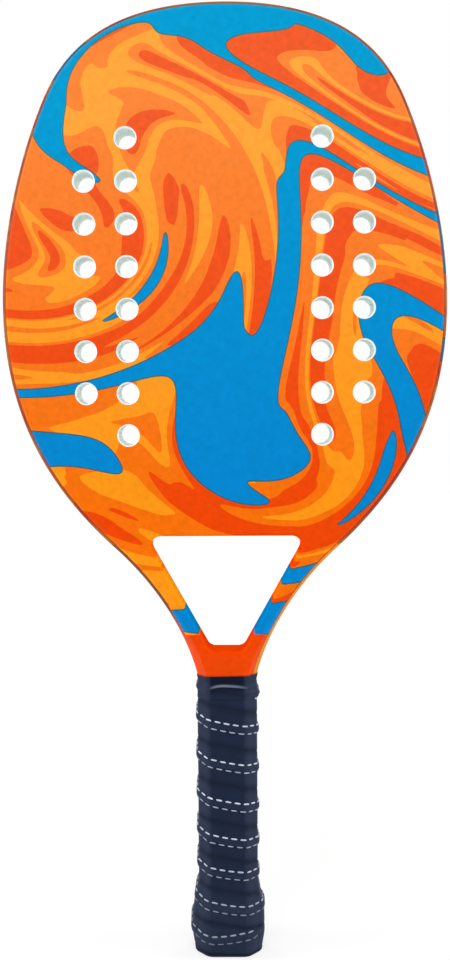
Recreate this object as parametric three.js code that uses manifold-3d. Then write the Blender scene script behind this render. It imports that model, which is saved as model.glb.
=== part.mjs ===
// Beach tennis racket: a foam core in a bent tube frame, closed by two moulded skins, with a wound grip.
// Millimetres. +Z runs from the butt to the crown, the front face looks along -Y, and the origin is the
// middle of the butt's flat end.
import * as THREE from "three";
import Module from "manifold-3d";
import { mergeVertices } from "three/addons/utils/BufferGeometryUtils.js";

const wasm = await Module();
wasm.setup();

// Head and throat outline
const overallLength = 500;
const headWidth = 231.4;
const bodyThickness = 22;
const widestHeight = 346;
const crownCornerWidth = 187;
const crownCornerHeight = 450.5;
const crownCornerLean = 23.4;
const shoulderWidth = 117;
const shoulderHeight = 218.7;
const shoulderLean = 47.5;
const neckFootHeight = 137;
// How far each curve of the outline keeps its end's direction, as shares of the height it spans
const neckReachShares = [0.11, 0.624];
const flankReachShares = [0.369, 0.448];
const crownSideReachShares = [0.364, 0.287];
// The last curve's reaches are shares of the half width that it spans
const crownTopReachShares = [0.271, 0.663];

// Edge of the skins: rounded round the head, bevelled on the handle
const edgeRoundInset = 3.4;
const edgeRoundDepth = 5.2;
const handleWidth = 27;
const handleBevelInset = 4.6;
const handleBevelDepth = 5.4;
const bevelFullHeight = 150;
const bevelGoneHeight = 190;

// Throat opening
const throatCeilingHeight = 225.3;
const throatFloorHeight = 163.6;
const throatFloorWidth = 18;
const throatSideLean = 29.3;
const throatTopCornerRadius = 5.5;
const throatFloorCornerRadius = 5;
const throatEdgeRound = 1.6;

// Walls and fits
const skinThickness = 1;
const fitGap = 0.3;
const frameTubeWall = 1.3;
const frameTubeHeadWidth = 9;
const frameTubeLegWidth = 5.6;
const frameTubeCorner = 0.8;
const legWidthFullHeight = 200;
const legWidthGoneHeight = 245;
const bridgeHeight = 7.5;
const bridgeWall = 1.3;

// Air holes: two columns of eight inside two columns of six
const holeBore = 10.5;
const holeRim = 11.8;
const holePitch = 21.8;
const innerColumnSpacing = 101;
const outerColumnSpacing = 144.4;
const topRowHeight = 431;
const innerColumnCount = 8;
const outerColumnCount = 6;

// Butt cap
const capFloor = 2;
const capBevel = 1.6;
const capTopHeight = 33;
const swellHeight = 3.5;
const swellStartHeight = 42;
const swellFullHeight = 18;
const swellFallHeight = 12;
const swellFallDrop = 1.4;

// Grip strip: wound from the butt up, with a sewn rib along its middle
const stripThickness = 2.1;
const stripEdge = 0.6;
const stripTopHeight = 144.4;
const skivedThickness = 1.1;
const skiveLength = 9;
const ribWidth = 5.4;
const ribRise = 0.9;
const ribCrestWidth = 2.4;
const ribStartTurn = 0.15;
const ribFullTurn = 0.6;
const windingGap = 0.6;
const ribTopHeight = 144.6;
const upperTurnRise = 20.7;
const lowerTurnRise = 17.4;
const upperTurns = 4;
const turnsAboveTop = 0.5;
const turnsInAll = 8.6;

// Finishing tape over the grip's upper end
const tapeTopHeight = 151;
const tapeFootHeight = 141.4;
const tapeThickness = 0.4;
const tapeStepHeight = 1.4;

// Detail of the curves
const neckSteps = 11;
const flankSteps = 9;
const crownSideSteps = 6;
const crownTopSteps = 8;
const edgeSteps = 3;
const cornerSteps = 4;
const holeSides = 16;
const swellSteps = 8;
const pointsPerFlat = 3;
const flats = 8;
const turnSteps = pointsPerFlat * flats;
const cutOverrun = 4;
const cornerTrimShare = 0.4;
const longestTrimShare = 0.25;

const halfThickness = bodyThickness / 2;
const radians = THREE.MathUtils.degToRad;
const smooth = (value, low, high) => THREE.MathUtils.smoothstep(value, low, high);
const mix = (a, b, share) => a + (b - a) * share;

// Outline of the right half, from the handle's foot to the crown, as points with outward normals
const handleFootHeight = capFloor + fitGap;
const crownCorner = new THREE.Vector2(crownCornerWidth / 2, crownCornerHeight);
const shoulder = new THREE.Vector2(shoulderWidth / 2, shoulderHeight);
const neckFoot = new THREE.Vector2(handleWidth / 2, neckFootHeight);
const widest = new THREE.Vector2(headWidth / 2, widestHeight);
const crown = new THREE.Vector2(0, overallLength);
const up = new THREE.Vector2(0, 1);
const inward = new THREE.Vector2(-1, 0);
const shoulderWay = new THREE.Vector2(Math.sin(radians(shoulderLean)), Math.cos(radians(shoulderLean)));
const crownWay = new THREE.Vector2(-Math.sin(radians(crownCornerLean)), Math.cos(radians(crownCornerLean)));

function easedCurve(start, startWay, end, endWay, reach, shares) {
  const first = start.clone().addScaledVector(startWay, reach * shares[0]);
  const second = end.clone().addScaledVector(endWay, -reach * shares[1]);
  return new THREE.CubicBezierCurve(start, first, second, end);
}

function outlineStations() {
  const spans = [
    [neckFoot, up, shoulder, shoulderWay, shoulder.y - neckFoot.y, neckReachShares, neckSteps],
    [shoulder, shoulderWay, widest, up, widest.y - shoulder.y, flankReachShares, flankSteps],
    [widest, up, crownCorner, crownWay, crownCorner.y - widest.y, crownSideReachShares, crownSideSteps],
    [crownCorner, crownWay, crown, inward, crownCorner.x, crownTopReachShares, crownTopSteps],
  ];
  const right = [{ point: new THREE.Vector2(neckFoot.x, handleFootHeight), way: up.clone() }];
  for (const [start, startWay, end, endWay, reach, shares, steps] of spans) {
    const curve = easedCurve(start, startWay, end, endWay, reach, shares);
    for (let i = 0; i < steps; i++) {
      right.push({ point: curve.getPoint(i / steps), way: curve.getTangent(i / steps) });
    }
  }
  const half = right.map(({ point, way }) => ({ x: point.x, z: point.y, nx: way.y, nz: -way.x }));
  const top = { x: 0, z: overallLength, nx: 0, nz: 1 };
  const left = half.map((s) => ({ x: -s.x, z: s.z, nx: -s.nx, nz: s.nz })).reverse();
  return [...half, top, ...left];
}
const stations = outlineStations();
const rightStations = stations.slice(0, (stations.length - 1) / 2);

// Half width of the bare body at a height up to its widest line
function halfWidthAt(z) {
  const next = rightStations.findIndex((s) => s.z > z);
  if (next < 1) return rightStations[0].x;
  const low = rightStations[next - 1];
  const high = rightStations[next];
  return mix(low.x, high.x, (z - low.z) / (high.z - low.z));
}

// Share of the handle's bevel in the edge at a height, and the edge's sizes under a margin
const bevelShare = (z) => 1 - smooth(z, bevelFullHeight, bevelGoneHeight);
const bevelTrim = 1 - Math.tan(Math.PI / flats);
function edgeAt(z, margin) {
  const share = bevelShare(z);
  const trim = mix(margin, margin * bevelTrim, share);
  return {
    inset: mix(edgeRoundInset, handleBevelInset, share) - trim,
    depth: mix(edgeRoundDepth, handleBevelDepth, share) - trim,
    share,
  };
}

// One edge point: step 0 is on the face, the last step is where the flat side starts
function edgePoint(z, margin, step) {
  const { inset, depth, share } = edgeAt(z, margin);
  const turn = (step / edgeSteps) * (Math.PI / 2);
  const along = step / edgeSteps;
  const inShare = mix(1 - Math.sin(turn), 1 - along, share);
  const deepShare = mix(Math.cos(turn), 1 - along, share);
  return {
    inset: margin + inset * inShare,
    depth: halfThickness - margin - depth * (1 - deepShare),
  };
}

// Closed geometry from rings of equal length: skinned in order, with a flat cap at both ends
function loft(rings) {
  const count = rings[0].length;
  const positions = rings.flat().flatMap((p) => [p.x, p.y, p.z]);
  const index = [];
  for (let r = 0; r + 1 < rings.length; r++) {
    for (let i = 0; i < count; i++) {
      const a = r * count + i;
      const b = r * count + ((i + 1) % count);
      index.push(a, b, b + count, a, b + count, a + count);
    }
  }
  for (const [ring, flip] of [[0, true], [rings.length - 1, false]]) {
    for (const [a, b, c] of capTriangles(rings[ring])) {
      const first = ring * count;
      index.push(first + a, first + (flip ? c : b), first + (flip ? b : c));
    }
  }
  return indexed(positions, index);
}

function capTriangles(ring) {
  const normal = new THREE.Vector3();
  ring.forEach((p, i) => {
    const q = ring[(i + 1) % ring.length];
    normal.add(new THREE.Vector3().crossVectors(p, q));
  });
  normal.normalize();
  const across = new THREE.Vector3().subVectors(ring[1], ring[0]).normalize();
  const along = new THREE.Vector3().crossVectors(normal, across);
  const flat = ring.map((p) => new THREE.Vector2(p.dot(across), p.dot(along)));
  return THREE.ShapeUtils.triangulateShape(flat, []);
}

function indexed(positions, index) {
  const geometry = new THREE.BufferGeometry();
  geometry.setAttribute("position", new THREE.Float32BufferAttribute(positions, 3));
  geometry.setIndex(index);
  return geometry;
}

// Solids for cutting and joining
function solid(geometry) {
  const bare = geometry.clone();
  bare.deleteAttribute("normal");
  bare.deleteAttribute("uv");
  const merged = mergeVertices(bare);
  const made = new wasm.Manifold(
    new wasm.Mesh({
      numProp: 3,
      vertProperties: merged.attributes.position.array,
      triVerts: new Uint32Array(merged.index.array),
    }),
  );
  if (made.volume() > 0) return made;
  const turned = merged.index.array.slice();
  for (let i = 0; i < turned.length; i += 3) [turned[i], turned[i + 1]] = [turned[i + 1], turned[i]];
  return solid(indexed(Array.from(merged.attributes.position.array), Array.from(turned)));
}

function surface(made) {
  const mesh = made.getMesh();
  return indexed(Array.from(mesh.vertProperties), Array.from(mesh.triVerts));
}

// The racket's closed body inside its outline by a margin, with its foot moved down by a drop
function bodySolid(margin, drop) {
  const ring = (step, side) =>
    stations.map((s) => {
      const edge = edgePoint(s.z, margin, step);
      const foot = s.z === handleFootHeight ? drop : 0;
      return new THREE.Vector3(s.x - s.nx * edge.inset, side * edge.depth, s.z - s.nz * edge.inset - foot);
    });
  const steps = Array.from({ length: edgeSteps + 1 }, (_, i) => i);
  return solid(loft([...steps.map((i) => ring(i, -1)), ...steps.reverse().map((i) => ring(i, 1))]));
}

// Throat opening grown by a size on every side
function throatLoop(grow) {
  const lean = radians(throatSideLean);
  const wider = grow / Math.cos(lean);
  const halfAt = (z) => throatFloorWidth / 2 + (z - throatFloorHeight) * Math.tan(lean) + wider;
  const corner = (radius, height, from, to) => {
    const grown = radius + grow;
    const middle = halfAt(height) - grown / Math.cos(lean);
    return Array.from({ length: cornerSteps + 1 }, (_, i) => {
      const turn = mix(from, to, i / cornerSteps);
      return { x: middle + grown * Math.cos(turn), z: height + grown * Math.sin(turn) };
    });
  };
  const floorMiddle = throatFloorHeight + throatFloorCornerRadius;
  const ceilingMiddle = throatCeilingHeight - throatTopCornerRadius;
  const right = [
    ...corner(throatFloorCornerRadius, floorMiddle, -Math.PI / 2, -lean),
    ...corner(throatTopCornerRadius, ceilingMiddle, -lean, Math.PI / 2),
  ];
  const left = right.map((p) => ({ x: -p.x, z: p.z })).reverse();
  return [...right, ...left];
}

function throatSolid(grow) {
  const ring = (extra, y) => throatLoop(grow + extra).map((p) => new THREE.Vector3(p.x, y, p.z));
  const rings = [];
  for (const side of [-1, 1]) {
    const half = [ring(throatEdgeRound, side * (halfThickness + cutOverrun))];
    for (let i = 0; i <= edgeSteps; i++) {
      const turn = (i / edgeSteps) * (Math.PI / 2);
      const extra = throatEdgeRound * (1 - Math.sin(turn));
      half.push(ring(extra, side * (halfThickness - throatEdgeRound * (1 - Math.cos(turn)))));
    }
    rings.push(...(side < 0 ? half : half.reverse()));
  }
  return solid(loft(rings));
}

// A straight block between two corners
function block(low, high) {
  const size = new THREE.Vector3().subVectors(high, low);
  const geometry = new THREE.BoxGeometry(size.x, size.y, size.z);
  const middle = new THREE.Vector3().addVectors(low, high).multiplyScalar(0.5);
  geometry.translate(middle.x, middle.y, middle.z);
  return solid(geometry);
}

// A solid of one outline in the face's plane, between two depths
function plate(points, halfDepth) {
  const shape = new THREE.Shape(points.map((p) => new THREE.Vector2(p.x, p.z)));
  const geometry = new THREE.ExtrudeGeometry(shape, { depth: 2 * halfDepth, bevelEnabled: false });
  geometry.translate(0, 0, -halfDepth);
  geometry.rotateX(Math.PI / 2);
  return solid(geometry);
}

// Air holes, countersunk through each skin
function holePlaces() {
  const places = [];
  const column = (spacing, firstRow, count) => {
    for (let i = 0; i < count; i++) {
      for (const side of [-1, 1]) {
        places.push({ x: (side * spacing) / 2, z: topRowHeight - (firstRow + i) * holePitch });
      }
    }
  };
  column(innerColumnSpacing, 0, innerColumnCount);
  column(outerColumnSpacing, (innerColumnCount - outerColumnCount) / 2, outerColumnCount);
  return places;
}

function holeCutters() {
  const bore = holeBore / 2;
  const rim = holeRim / 2;
  const reach = halfThickness + cutOverrun;
  const profile = [
    [0, -reach],
    [rim + cutOverrun, -reach],
    [rim, -halfThickness],
    [bore, -(halfThickness - (rim - bore))],
    [bore, halfThickness - (rim - bore)],
    [rim, halfThickness],
    [rim + cutOverrun, reach],
    [0, reach],
  ].map(([radius, depth]) => new THREE.Vector2(radius, depth));
  return holePlaces().map(({ x, z }) => {
    const geometry = new THREE.LatheGeometry(profile, holeSides);
    geometry.translate(x, 0, z);
    return solid(geometry);
  });
}

// Skins: front and back shells that meet on the middle plane and line the throat opening
const holes = holeCutters();
const clearDepth = halfThickness - skinThickness - fitGap;
const innerMargin = skinThickness + fitGap;
const shell = bodySolid(0, 0)
  .subtract(throatSolid(0))
  .subtract(bodySolid(skinThickness, cutOverrun).subtract(throatSolid(skinThickness)));
const drilledShell = holes.reduce((made, hole) => made.subtract(hole), shell);
const headBound = headWidth / 2 + cutOverrun;
const topBound = overallLength + cutOverrun;
const depthBound = halfThickness + cutOverrun;
function halfShell(side) {
  const low = new THREE.Vector3(-headBound, side < 0 ? -depthBound : 0, -cutOverrun);
  const high = new THREE.Vector3(headBound, side < 0 ? 0 : depthBound, topBound);
  return surface(drilledShell.intersect(block(low, high)));
}

// Frame tube: one tube bent round the head, with both legs running down inside the handle
const legShare = (z) => 1 - smooth(z, legWidthFullHeight, legWidthGoneHeight);
const tubeWidthAt = (z) => mix(frameTubeHeadWidth, frameTubeLegWidth, legShare(z));
const tubeEdgeSteps = [0, edgeSteps];
function tubeSection(station, margin) {
  const far = innerMargin + tubeWidthAt(station.z) - (margin - innerMargin);
  const deep = halfThickness - margin;
  const longest = far - frameTubeCorner;
  const outer = tubeEdgeSteps
    .map((step) => edgePoint(station.z, margin, step))
    .map(({ inset, depth }) => ({ inset: Math.min(inset, longest), depth }));
  const half = [
    { inset: far, depth: deep - frameTubeCorner },
    { inset: longest, depth: deep },
    ...outer,
  ];
  const mirrored = half.map((p) => ({ inset: p.inset, depth: -p.depth })).reverse();
  return [...half, ...mirrored];
}

function tubeRing(station, margin) {
  const { x, z, nx, nz } = station;
  return tubeSection(station, margin).map(
    ({ inset, depth }) => new THREE.Vector3(x - nx * inset, -depth, z - nz * inset),
  );
}

function frameTube() {
  const outer = solid(loft(stations.map((s) => tubeRing(s, innerMargin))));
  const lowered = (s) => (s.z === handleFootHeight ? { ...s, z: s.z - cutOverrun } : s);
  const bore = solid(loft(stations.map((s) => tubeRing(lowered(s), innerMargin + frameTubeWall))));
  return surface(outer.subtract(bore));
}

// Outline inside the frame tube, cut off below a height
function insideTube(lowest, highest) {
  const reachIn = (s) => innerMargin + tubeWidthAt(s.z) + fitGap;
  return stations
    .map((s) => ({ x: s.x - s.nx * reachIn(s), z: s.z - s.nz * reachIn(s) }))
    .filter((p) => p.z > lowest && p.z < highest);
}

function insideHalfWidthAt(z) {
  const inside = insideTube(-cutOverrun, widestHeight).filter((p) => p.x > 0);
  const next = inside.findIndex((p) => p.z > z);
  if (next < 1) return inside[0].x;
  const low = inside[next - 1];
  const high = inside[next];
  return mix(low.x, high.x, (z - low.z) / (high.z - low.z));
}

// Throat bridge: the hollow cross tube over the opening, between the frame's legs
const bridgeFoot = throatCeilingHeight + innerMargin;
const bridgeTop = bridgeFoot + bridgeHeight;
function throatBridge() {
  const outline = (foot, top, inset) => [
    { x: -(insideHalfWidthAt(foot) - inset), z: foot },
    { x: insideHalfWidthAt(foot) - inset, z: foot },
    { x: insideHalfWidthAt(top) - inset, z: top },
    { x: -(insideHalfWidthAt(top) - inset), z: top },
  ];
  const outer = plate(outline(bridgeFoot, bridgeTop, 0), clearDepth);
  const boreFoot = bridgeFoot + bridgeWall;
  const boreTop = bridgeTop - bridgeWall;
  return surface(outer.subtract(plate(outline(boreFoot, boreTop, -cutOverrun), clearDepth - bridgeWall)));
}

// Foam core: fills the head inside the frame tube and above the bridge
function foamCore() {
  const foot = bridgeTop + fitGap;
  const rim = insideTube(foot, topBound);
  const corner = insideHalfWidthAt(foot);
  const core = plate([{ x: corner, z: foot }, ...rim, { x: -corner, z: foot }], clearDepth);
  return surface(holes.reduce((made, hole) => made.subtract(hole), core));
}

// Handle filler: the foam wedge between the frame's legs, from the throat down to the butt
function handleFiller() {
  const top = throatFloorHeight - innerMargin;
  const sides = insideTube(-cutOverrun, top);
  const corner = insideHalfWidthAt(top);
  const right = sides.filter((p) => p.x > 0);
  const left = sides.filter((p) => p.x < 0);
  return surface(plate([...right, { x: corner, z: top }, { x: -corner, z: top }, ...left], clearDepth));
}

// Octagonal plan of the handle at a height, offset outwards; its flats count from the right-hand one
const frontFlat = 6;
function handleCorners(z) {
  const wide = halfWidthAt(z);
  const { inset, depth } = edgeAt(z, 0);
  const quarter = [
    [wide, halfThickness - depth],
    [wide - inset, halfThickness],
  ];
  const right = [[wide, -quarter[0][1]], quarter[0]];
  const back = [quarter[1], [-quarter[1][0], quarter[1][1]]];
  const left = right.map(([x, y]) => [-x, -y]);
  const front = back.map(([x, y]) => [-x, -y]);
  return [...right, ...back, ...left, ...front].map(([x, y]) => new THREE.Vector2(x, y));
}

function gripPoint(step, z, offset) {
  const corners = handleCorners(z);
  const side = Math.floor(step / pointsPerFlat) % flats;
  const start = corners[side];
  const end = corners[(side + 1) % flats];
  const way = end.clone().sub(start);
  const length = way.length();
  way.normalize();
  const trim = Math.min(cornerTrimShare * offset, longestTrimShare * length);
  const along = mix(trim, length - trim, (step % pointsPerFlat) / (pointsPerFlat - 1));
  return new THREE.Vector3(
    start.x + way.x * along + way.y * offset,
    start.y + way.y * along - way.x * offset,
    z,
  );
}

function gripRing(z, offset) {
  return Array.from({ length: turnSteps }, (_, step) => gripPoint(step, z, offset));
}

// How far the grip stands off the bare handle at a height, over the swell of the butt
function swellAt(z) {
  const rise = swellHeight * (1 - smooth(z, swellFullHeight, swellStartHeight));
  return rise - swellFallDrop * (1 - smooth(z, 0, swellFallHeight));
}

// Butt cap: a flared cup over the handle's end, with a bevelled flat foot
const capLip = fitGap + swellAt(capFloor) + stripThickness;
function buttCap() {
  const walls = Array.from({ length: swellSteps + 1 }, (_, i) => {
    const z = mix(capFloor, capTopHeight, i / swellSteps);
    return gripRing(z, swellAt(z));
  });
  return loft([
    gripRing(0, capLip - capBevel),
    gripRing(capBevel, capLip),
    gripRing(capFloor, capLip),
    ...walls,
    gripRing(capTopHeight, fitGap),
    gripRing(capFloor, fitGap),
  ]);
}

// Grip strip: a helix of one flat strip with a raised rib, trimmed flush at both ends
function ribHeightAt(turn) {
  const slowed = Math.max(0, turn - upperTurns);
  return ribTopHeight - upperTurnRise * turn + (upperTurnRise - lowerTurnRise) * slowed;
}

function stripSection(turn) {
  const upper = (ribHeightAt(turn - 1) - ribHeightAt(turn) - windingGap) / 2;
  const lower = (ribHeightAt(turn + 1) - ribHeightAt(turn) + windingGap) / 2;
  const rib = ribWidth / 2;
  const crest = ribCrestWidth / 2;
  const ribTop = stripThickness + ribRise * smooth(turn, ribStartTurn, ribFullTurn);
  return [
    [lower, 0],
    [lower, stripThickness - stripEdge],
    [lower + stripEdge, stripThickness],
    [-rib, stripThickness],
    [-crest, ribTop],
    [crest, ribTop],
    [rib, stripThickness],
    [upper - stripEdge, stripThickness],
    [upper, stripThickness - stripEdge],
    [upper, 0],
    [upper / 2, 0],
    [0, 0],
    [lower / 2, 0],
  ];
}

// Share of the strip's thickness left at a height, where its upper end is skived thin
function skiveAt(z) {
  return mix(1, skivedThickness / stripThickness, smooth(z, stripTopHeight - skiveLength, stripTopHeight));
}

const stripFootHeight = capFloor + fitGap;
const frontMiddleStep = frontFlat * pointsPerFlat + (pointsPerFlat - 1) / 2;
function stripRings() {
  const rings = [];
  const firstStep = frontMiddleStep - Math.round(turnsAboveTop * turnSteps) + turnSteps;
  for (let i = 0; i <= turnsInAll * turnSteps; i++) {
    const turn = i / turnSteps - turnsAboveTop;
    const step = (firstStep + i) % turnSteps;
    const middle = ribHeightAt(turn);
    rings.push(
      stripSection(turn).map(([along, out]) => {
        const z = middle + along;
        return gripPoint(step, z, fitGap + swellAt(Math.max(z, 0)) + out * skiveAt(z));
      }),
    );
  }
  return rings;
}

// Least gap between one turn of the strip and the next, on its points
function leastWindingGap(rings) {
  let least = Infinity;
  for (let i = 0; i + turnSteps < rings.length; i++) {
    for (const p of rings[i]) {
      for (const q of rings[i + turnSteps]) least = Math.min(least, p.distanceTo(q));
    }
  }
  return least;
}

function gripStrip() {
  const rings = stripRings();
  console.log("least gap between the grip strip's turns, mm:", leastWindingGap(rings).toFixed(2));
  const low = new THREE.Vector3(-headBound, -headBound, stripFootHeight);
  const high = new THREE.Vector3(headBound, headBound, stripTopHeight);
  return surface(solid(loft(rings)).intersect(block(low, high)));
}

// Finishing tape: a thin sleeve from the neck down over the strip's upper end
function finishingTape() {
  const onNeck = fitGap;
  const onStrip = 2 * fitGap + stripThickness * skiveAt(tapeFootHeight);
  const stepTop = stripTopHeight + fitGap + tapeStepHeight;
  const stepFoot = stripTopHeight + fitGap;
  const profile = [
    [tapeTopHeight, onNeck],
    [stepTop, onNeck],
    [stepFoot, onStrip],
    [tapeFootHeight, onStrip],
  ];
  const inner = profile.map(([z, offset]) => gripRing(z, offset));
  const outer = profile.map(([z, offset]) => gripRing(z, offset + tapeThickness)).reverse();
  return sleeve([...inner, ...outer]);
}

// A ring-shaped solid whose rings close on the first one
function sleeve(rings) {
  const count = rings[0].length;
  const positions = rings.flat().flatMap((p) => [p.x, p.y, p.z]);
  const index = [];
  rings.forEach((ring, r) => {
    const after = ((r + 1) % rings.length) * count;
    ring.forEach((_, i) => {
      const a = r * count + i;
      const b = r * count + ((i + 1) % count);
      const c = after + ((i + 1) % count);
      const d = after + i;
      index.push(a, b, c, a, c, d);
    });
  });
  return indexed(positions, index);
}

// Finishes
const finish = (color, roughness) => new THREE.MeshStandardMaterial({ color, roughness, metalness: 0 });
const frontPrint = finish(0xff7d2d, 0.45);
const backPrint = finish(0xff9a32, 0.45);
const whiteFoam = finish(0xf2f2ee, 0.8);
const glassTube = finish(0xd9cfa8, 0.5);
const paleFoam = finish(0xe6dcc0, 0.85);
const navyRubber = finish(0x1e263a, 0.6);
const navyWrap = finish(0x262e44, 0.7);
const navyTape = finish(0x222a40, 0.5);

const racket = new THREE.Group();
function piece(name, geometry, material) {
  const mesh = new THREE.Mesh(surface(solid(geometry)), material);
  mesh.name = name;
  racket.add(mesh);
}

piece("front_skin", halfShell(-1), frontPrint);
piece("back_skin", halfShell(1), backPrint);
piece("foam_core", foamCore(), whiteFoam);
piece("frame_tube", frameTube(), glassTube);
piece("throat_bridge", throatBridge(), glassTube);
piece("handle_filler", handleFiller(), paleFoam);
piece("butt_cap", buttCap(), navyRubber);
piece("grip_strip", gripStrip(), navyWrap);
piece("finishing_tape", finishingTape(), navyTape);

export default racket;
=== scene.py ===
import math
from bisect import bisect_right
from collections import namedtuple

import bmesh
import bpy
from mathutils import Matrix, Vector, noise


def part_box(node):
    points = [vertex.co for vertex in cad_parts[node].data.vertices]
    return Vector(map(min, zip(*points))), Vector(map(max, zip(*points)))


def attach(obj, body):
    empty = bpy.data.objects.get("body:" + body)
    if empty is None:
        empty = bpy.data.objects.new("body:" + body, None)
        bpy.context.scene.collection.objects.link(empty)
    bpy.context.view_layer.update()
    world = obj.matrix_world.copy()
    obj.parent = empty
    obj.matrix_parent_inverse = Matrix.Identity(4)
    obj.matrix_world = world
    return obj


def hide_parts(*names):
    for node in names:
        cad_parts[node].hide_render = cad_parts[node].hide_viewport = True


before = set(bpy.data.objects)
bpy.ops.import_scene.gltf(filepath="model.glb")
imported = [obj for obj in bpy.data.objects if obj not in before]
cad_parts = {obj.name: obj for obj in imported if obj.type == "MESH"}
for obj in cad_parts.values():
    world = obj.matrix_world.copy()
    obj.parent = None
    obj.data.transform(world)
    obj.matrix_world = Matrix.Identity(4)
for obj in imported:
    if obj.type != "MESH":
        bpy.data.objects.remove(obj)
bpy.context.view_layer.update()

MM = 0.001
skin_low, skin_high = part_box("front_skin")

# Sizes that the frame gives
HALF_WIDTH = skin_high.x
CROWN_HEIGHT = skin_high.z
FACE_DEPTH = -skin_low.y
SKIN_FOOT = skin_low.z

# Outline of head, throat arms and handle
WIDEST_HEIGHT = 346 * MM
CROWN_CORNER = Vector((93.5 * MM, 450.5 * MM))
CROWN_CORNER_LEAN = math.radians(23.4)
SHOULDER = Vector((58.5 * MM, 218.7 * MM))
SHOULDER_LEAN = math.radians(47.5)
NECK_FOOT = Vector((13.3 * MM, 137 * MM))
NECK_REACH_SHARES = (0.11, 0.624)
FLANK_REACH_SHARES = (0.369, 0.448)
CROWN_SIDE_REACH_SHARES = (0.364, 0.287)
CROWN_TOP_REACH_SHARES = (0.271, 0.663)

# Edge of the skins: rounded round the head, bevelled on the handle
EDGE_ROUND_INSET = 3.4 * MM
EDGE_ROUND_DEPTH = 5.2 * MM
BEVEL_INSET = 4.6 * MM
BEVEL_DEPTH = 5.4 * MM
BEVEL_FULL_HEIGHT = 150 * MM
BEVEL_GONE_HEIGHT = 190 * MM
BEVEL_TRIM_SHARE = 1 - math.tan(math.radians(22.5))
PARTING_WIDTH = 0.22 * MM
PARTING_DEPTH = 0.12 * MM
SKIN_THICKNESS = 1 * MM
FIT_GAP = 0.3 * MM

# Throat opening
THROAT_CEILING = 225.3 * MM
THROAT_FLOOR = 163.6 * MM
THROAT_FLOOR_WIDTH = 18 * MM
THROAT_LEAN = math.radians(29.3)
THROAT_TOP_RADIUS = 5.5 * MM
THROAT_FLOOR_RADIUS = 5 * MM
THROAT_EDGE_ROUND = 1.6 * MM

# Air holes: two columns of eight inside two columns of six, as place aside, first row and count
HOLE_BORE = 10.5 * MM
HOLE_RIM = 11.8 * MM
HOLE_PITCH = 21.8 * MM
HOLE_TOP_ROW = 431 * MM
HOLE_COLUMNS = ((50.5 * MM, 0, 8), (72.2 * MM, 1, 6))

# Frame tube round the foam core, which rests between the skins
TUBE_HEAD_WIDTH = 9 * MM
TUBE_LEG_WIDTH = 5.6 * MM
LEG_FULL_HEIGHT = 200 * MM
LEG_GONE_HEIGHT = 245 * MM
SEAT_GAP = 0.02 * MM

# Butt cap and the swell that it gives the grip
CAP_FLOOR = 2 * MM
CAP_EDGE_ROUND = 1.6 * MM
CAP_TOP = 33 * MM
SWELL = 3.5 * MM
SWELL_START = 42 * MM
SWELL_FULL = 18 * MM
SWELL_FALL = 12 * MM
SWELL_FALL_DROP = 1.4 * MM

# Grip strip, wound in a left-handed helix, with a sewn rib along its middle
STRIP_THICKNESS = 2.3 * MM
STRIP_TOP = 144.4 * MM
STRIP_EDGE_ROUND = 1.7 * MM
STRIP_EDGE_DROP = 0.22 * MM
SKIVED_THICKNESS = 1.1 * MM
SKIVE_LENGTH = 9 * MM
RIB_RISE = 0.95 * MM
RIB_CREST = 1 * MM
RIB_FOOT = 2.8 * MM
RIB_START_TURNS = (0.02, 0.25)
RIB_END_TURNS = (7.12, 7.2)
RIB_TOP_HEIGHT = 144.6 * MM
UPPER_TURN_RISE = 20.7 * MM
LOWER_TURN_RISE = 17.4 * MM
UPPER_TURNS = 4
TURNS_ABOVE_TOP = 0.5
TURNS_IN_ALL = 8.6
WINDING_GAP = 0.03 * MM
# The rib bows down across the front, wanders a little from turn to turn, and its end is lifted
RIB_BOW = 2.2 * MM
RIB_BOW_GROWTH = 0.6 * MM
RIB_BOW_TURN = 0.03
RIB_BOW_LIMIT_SHARE = 0.8
RIB_BOW_LIMIT_TURNS = (0.2, 0.5)
RIB_WANDER_MM = (-0.8, 0.1, -0.1, -0.4, 0.6, 0.2, -0.4, -1)
RIB_WANDER_TURNS = (0.35, 0.65)
RIB_LIFT_TURN = 6.92
RIB_LIFT_PER_TURN = 25 * MM
WRINKLE = 0.11 * MM
WRINKLE_LENGTH = 9 * MM
CORNER_RADIUS = 2 * MM
GRIP_MIDDLE = 80 * MM

# Stitches along both sides of the rib, and one loose end that shows below the tape
STITCH_LENGTH = 3.3 * MM
STITCH_PITCH = 4.9 * MM
STITCH_WIDTH = 0.95 * MM
STITCH_HEIGHT = 0.6 * MM
STITCH_LINE = 2.03 * MM
STITCH_GROOVE = 0.14 * MM
STITCH_SQUARING = 0.5
STITCH_TAPE_GAP = 0.3 * MM
UPPER_ROW_TURNS = (0.19, 7.12)
LOWER_ROW_TURNS = (0.2766, 7.15)
STITCH_STAND_SHARE = 0.22
THREAD_END_TURN = 0.178
THREAD_END_STAND_SHARE = 0.7

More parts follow.
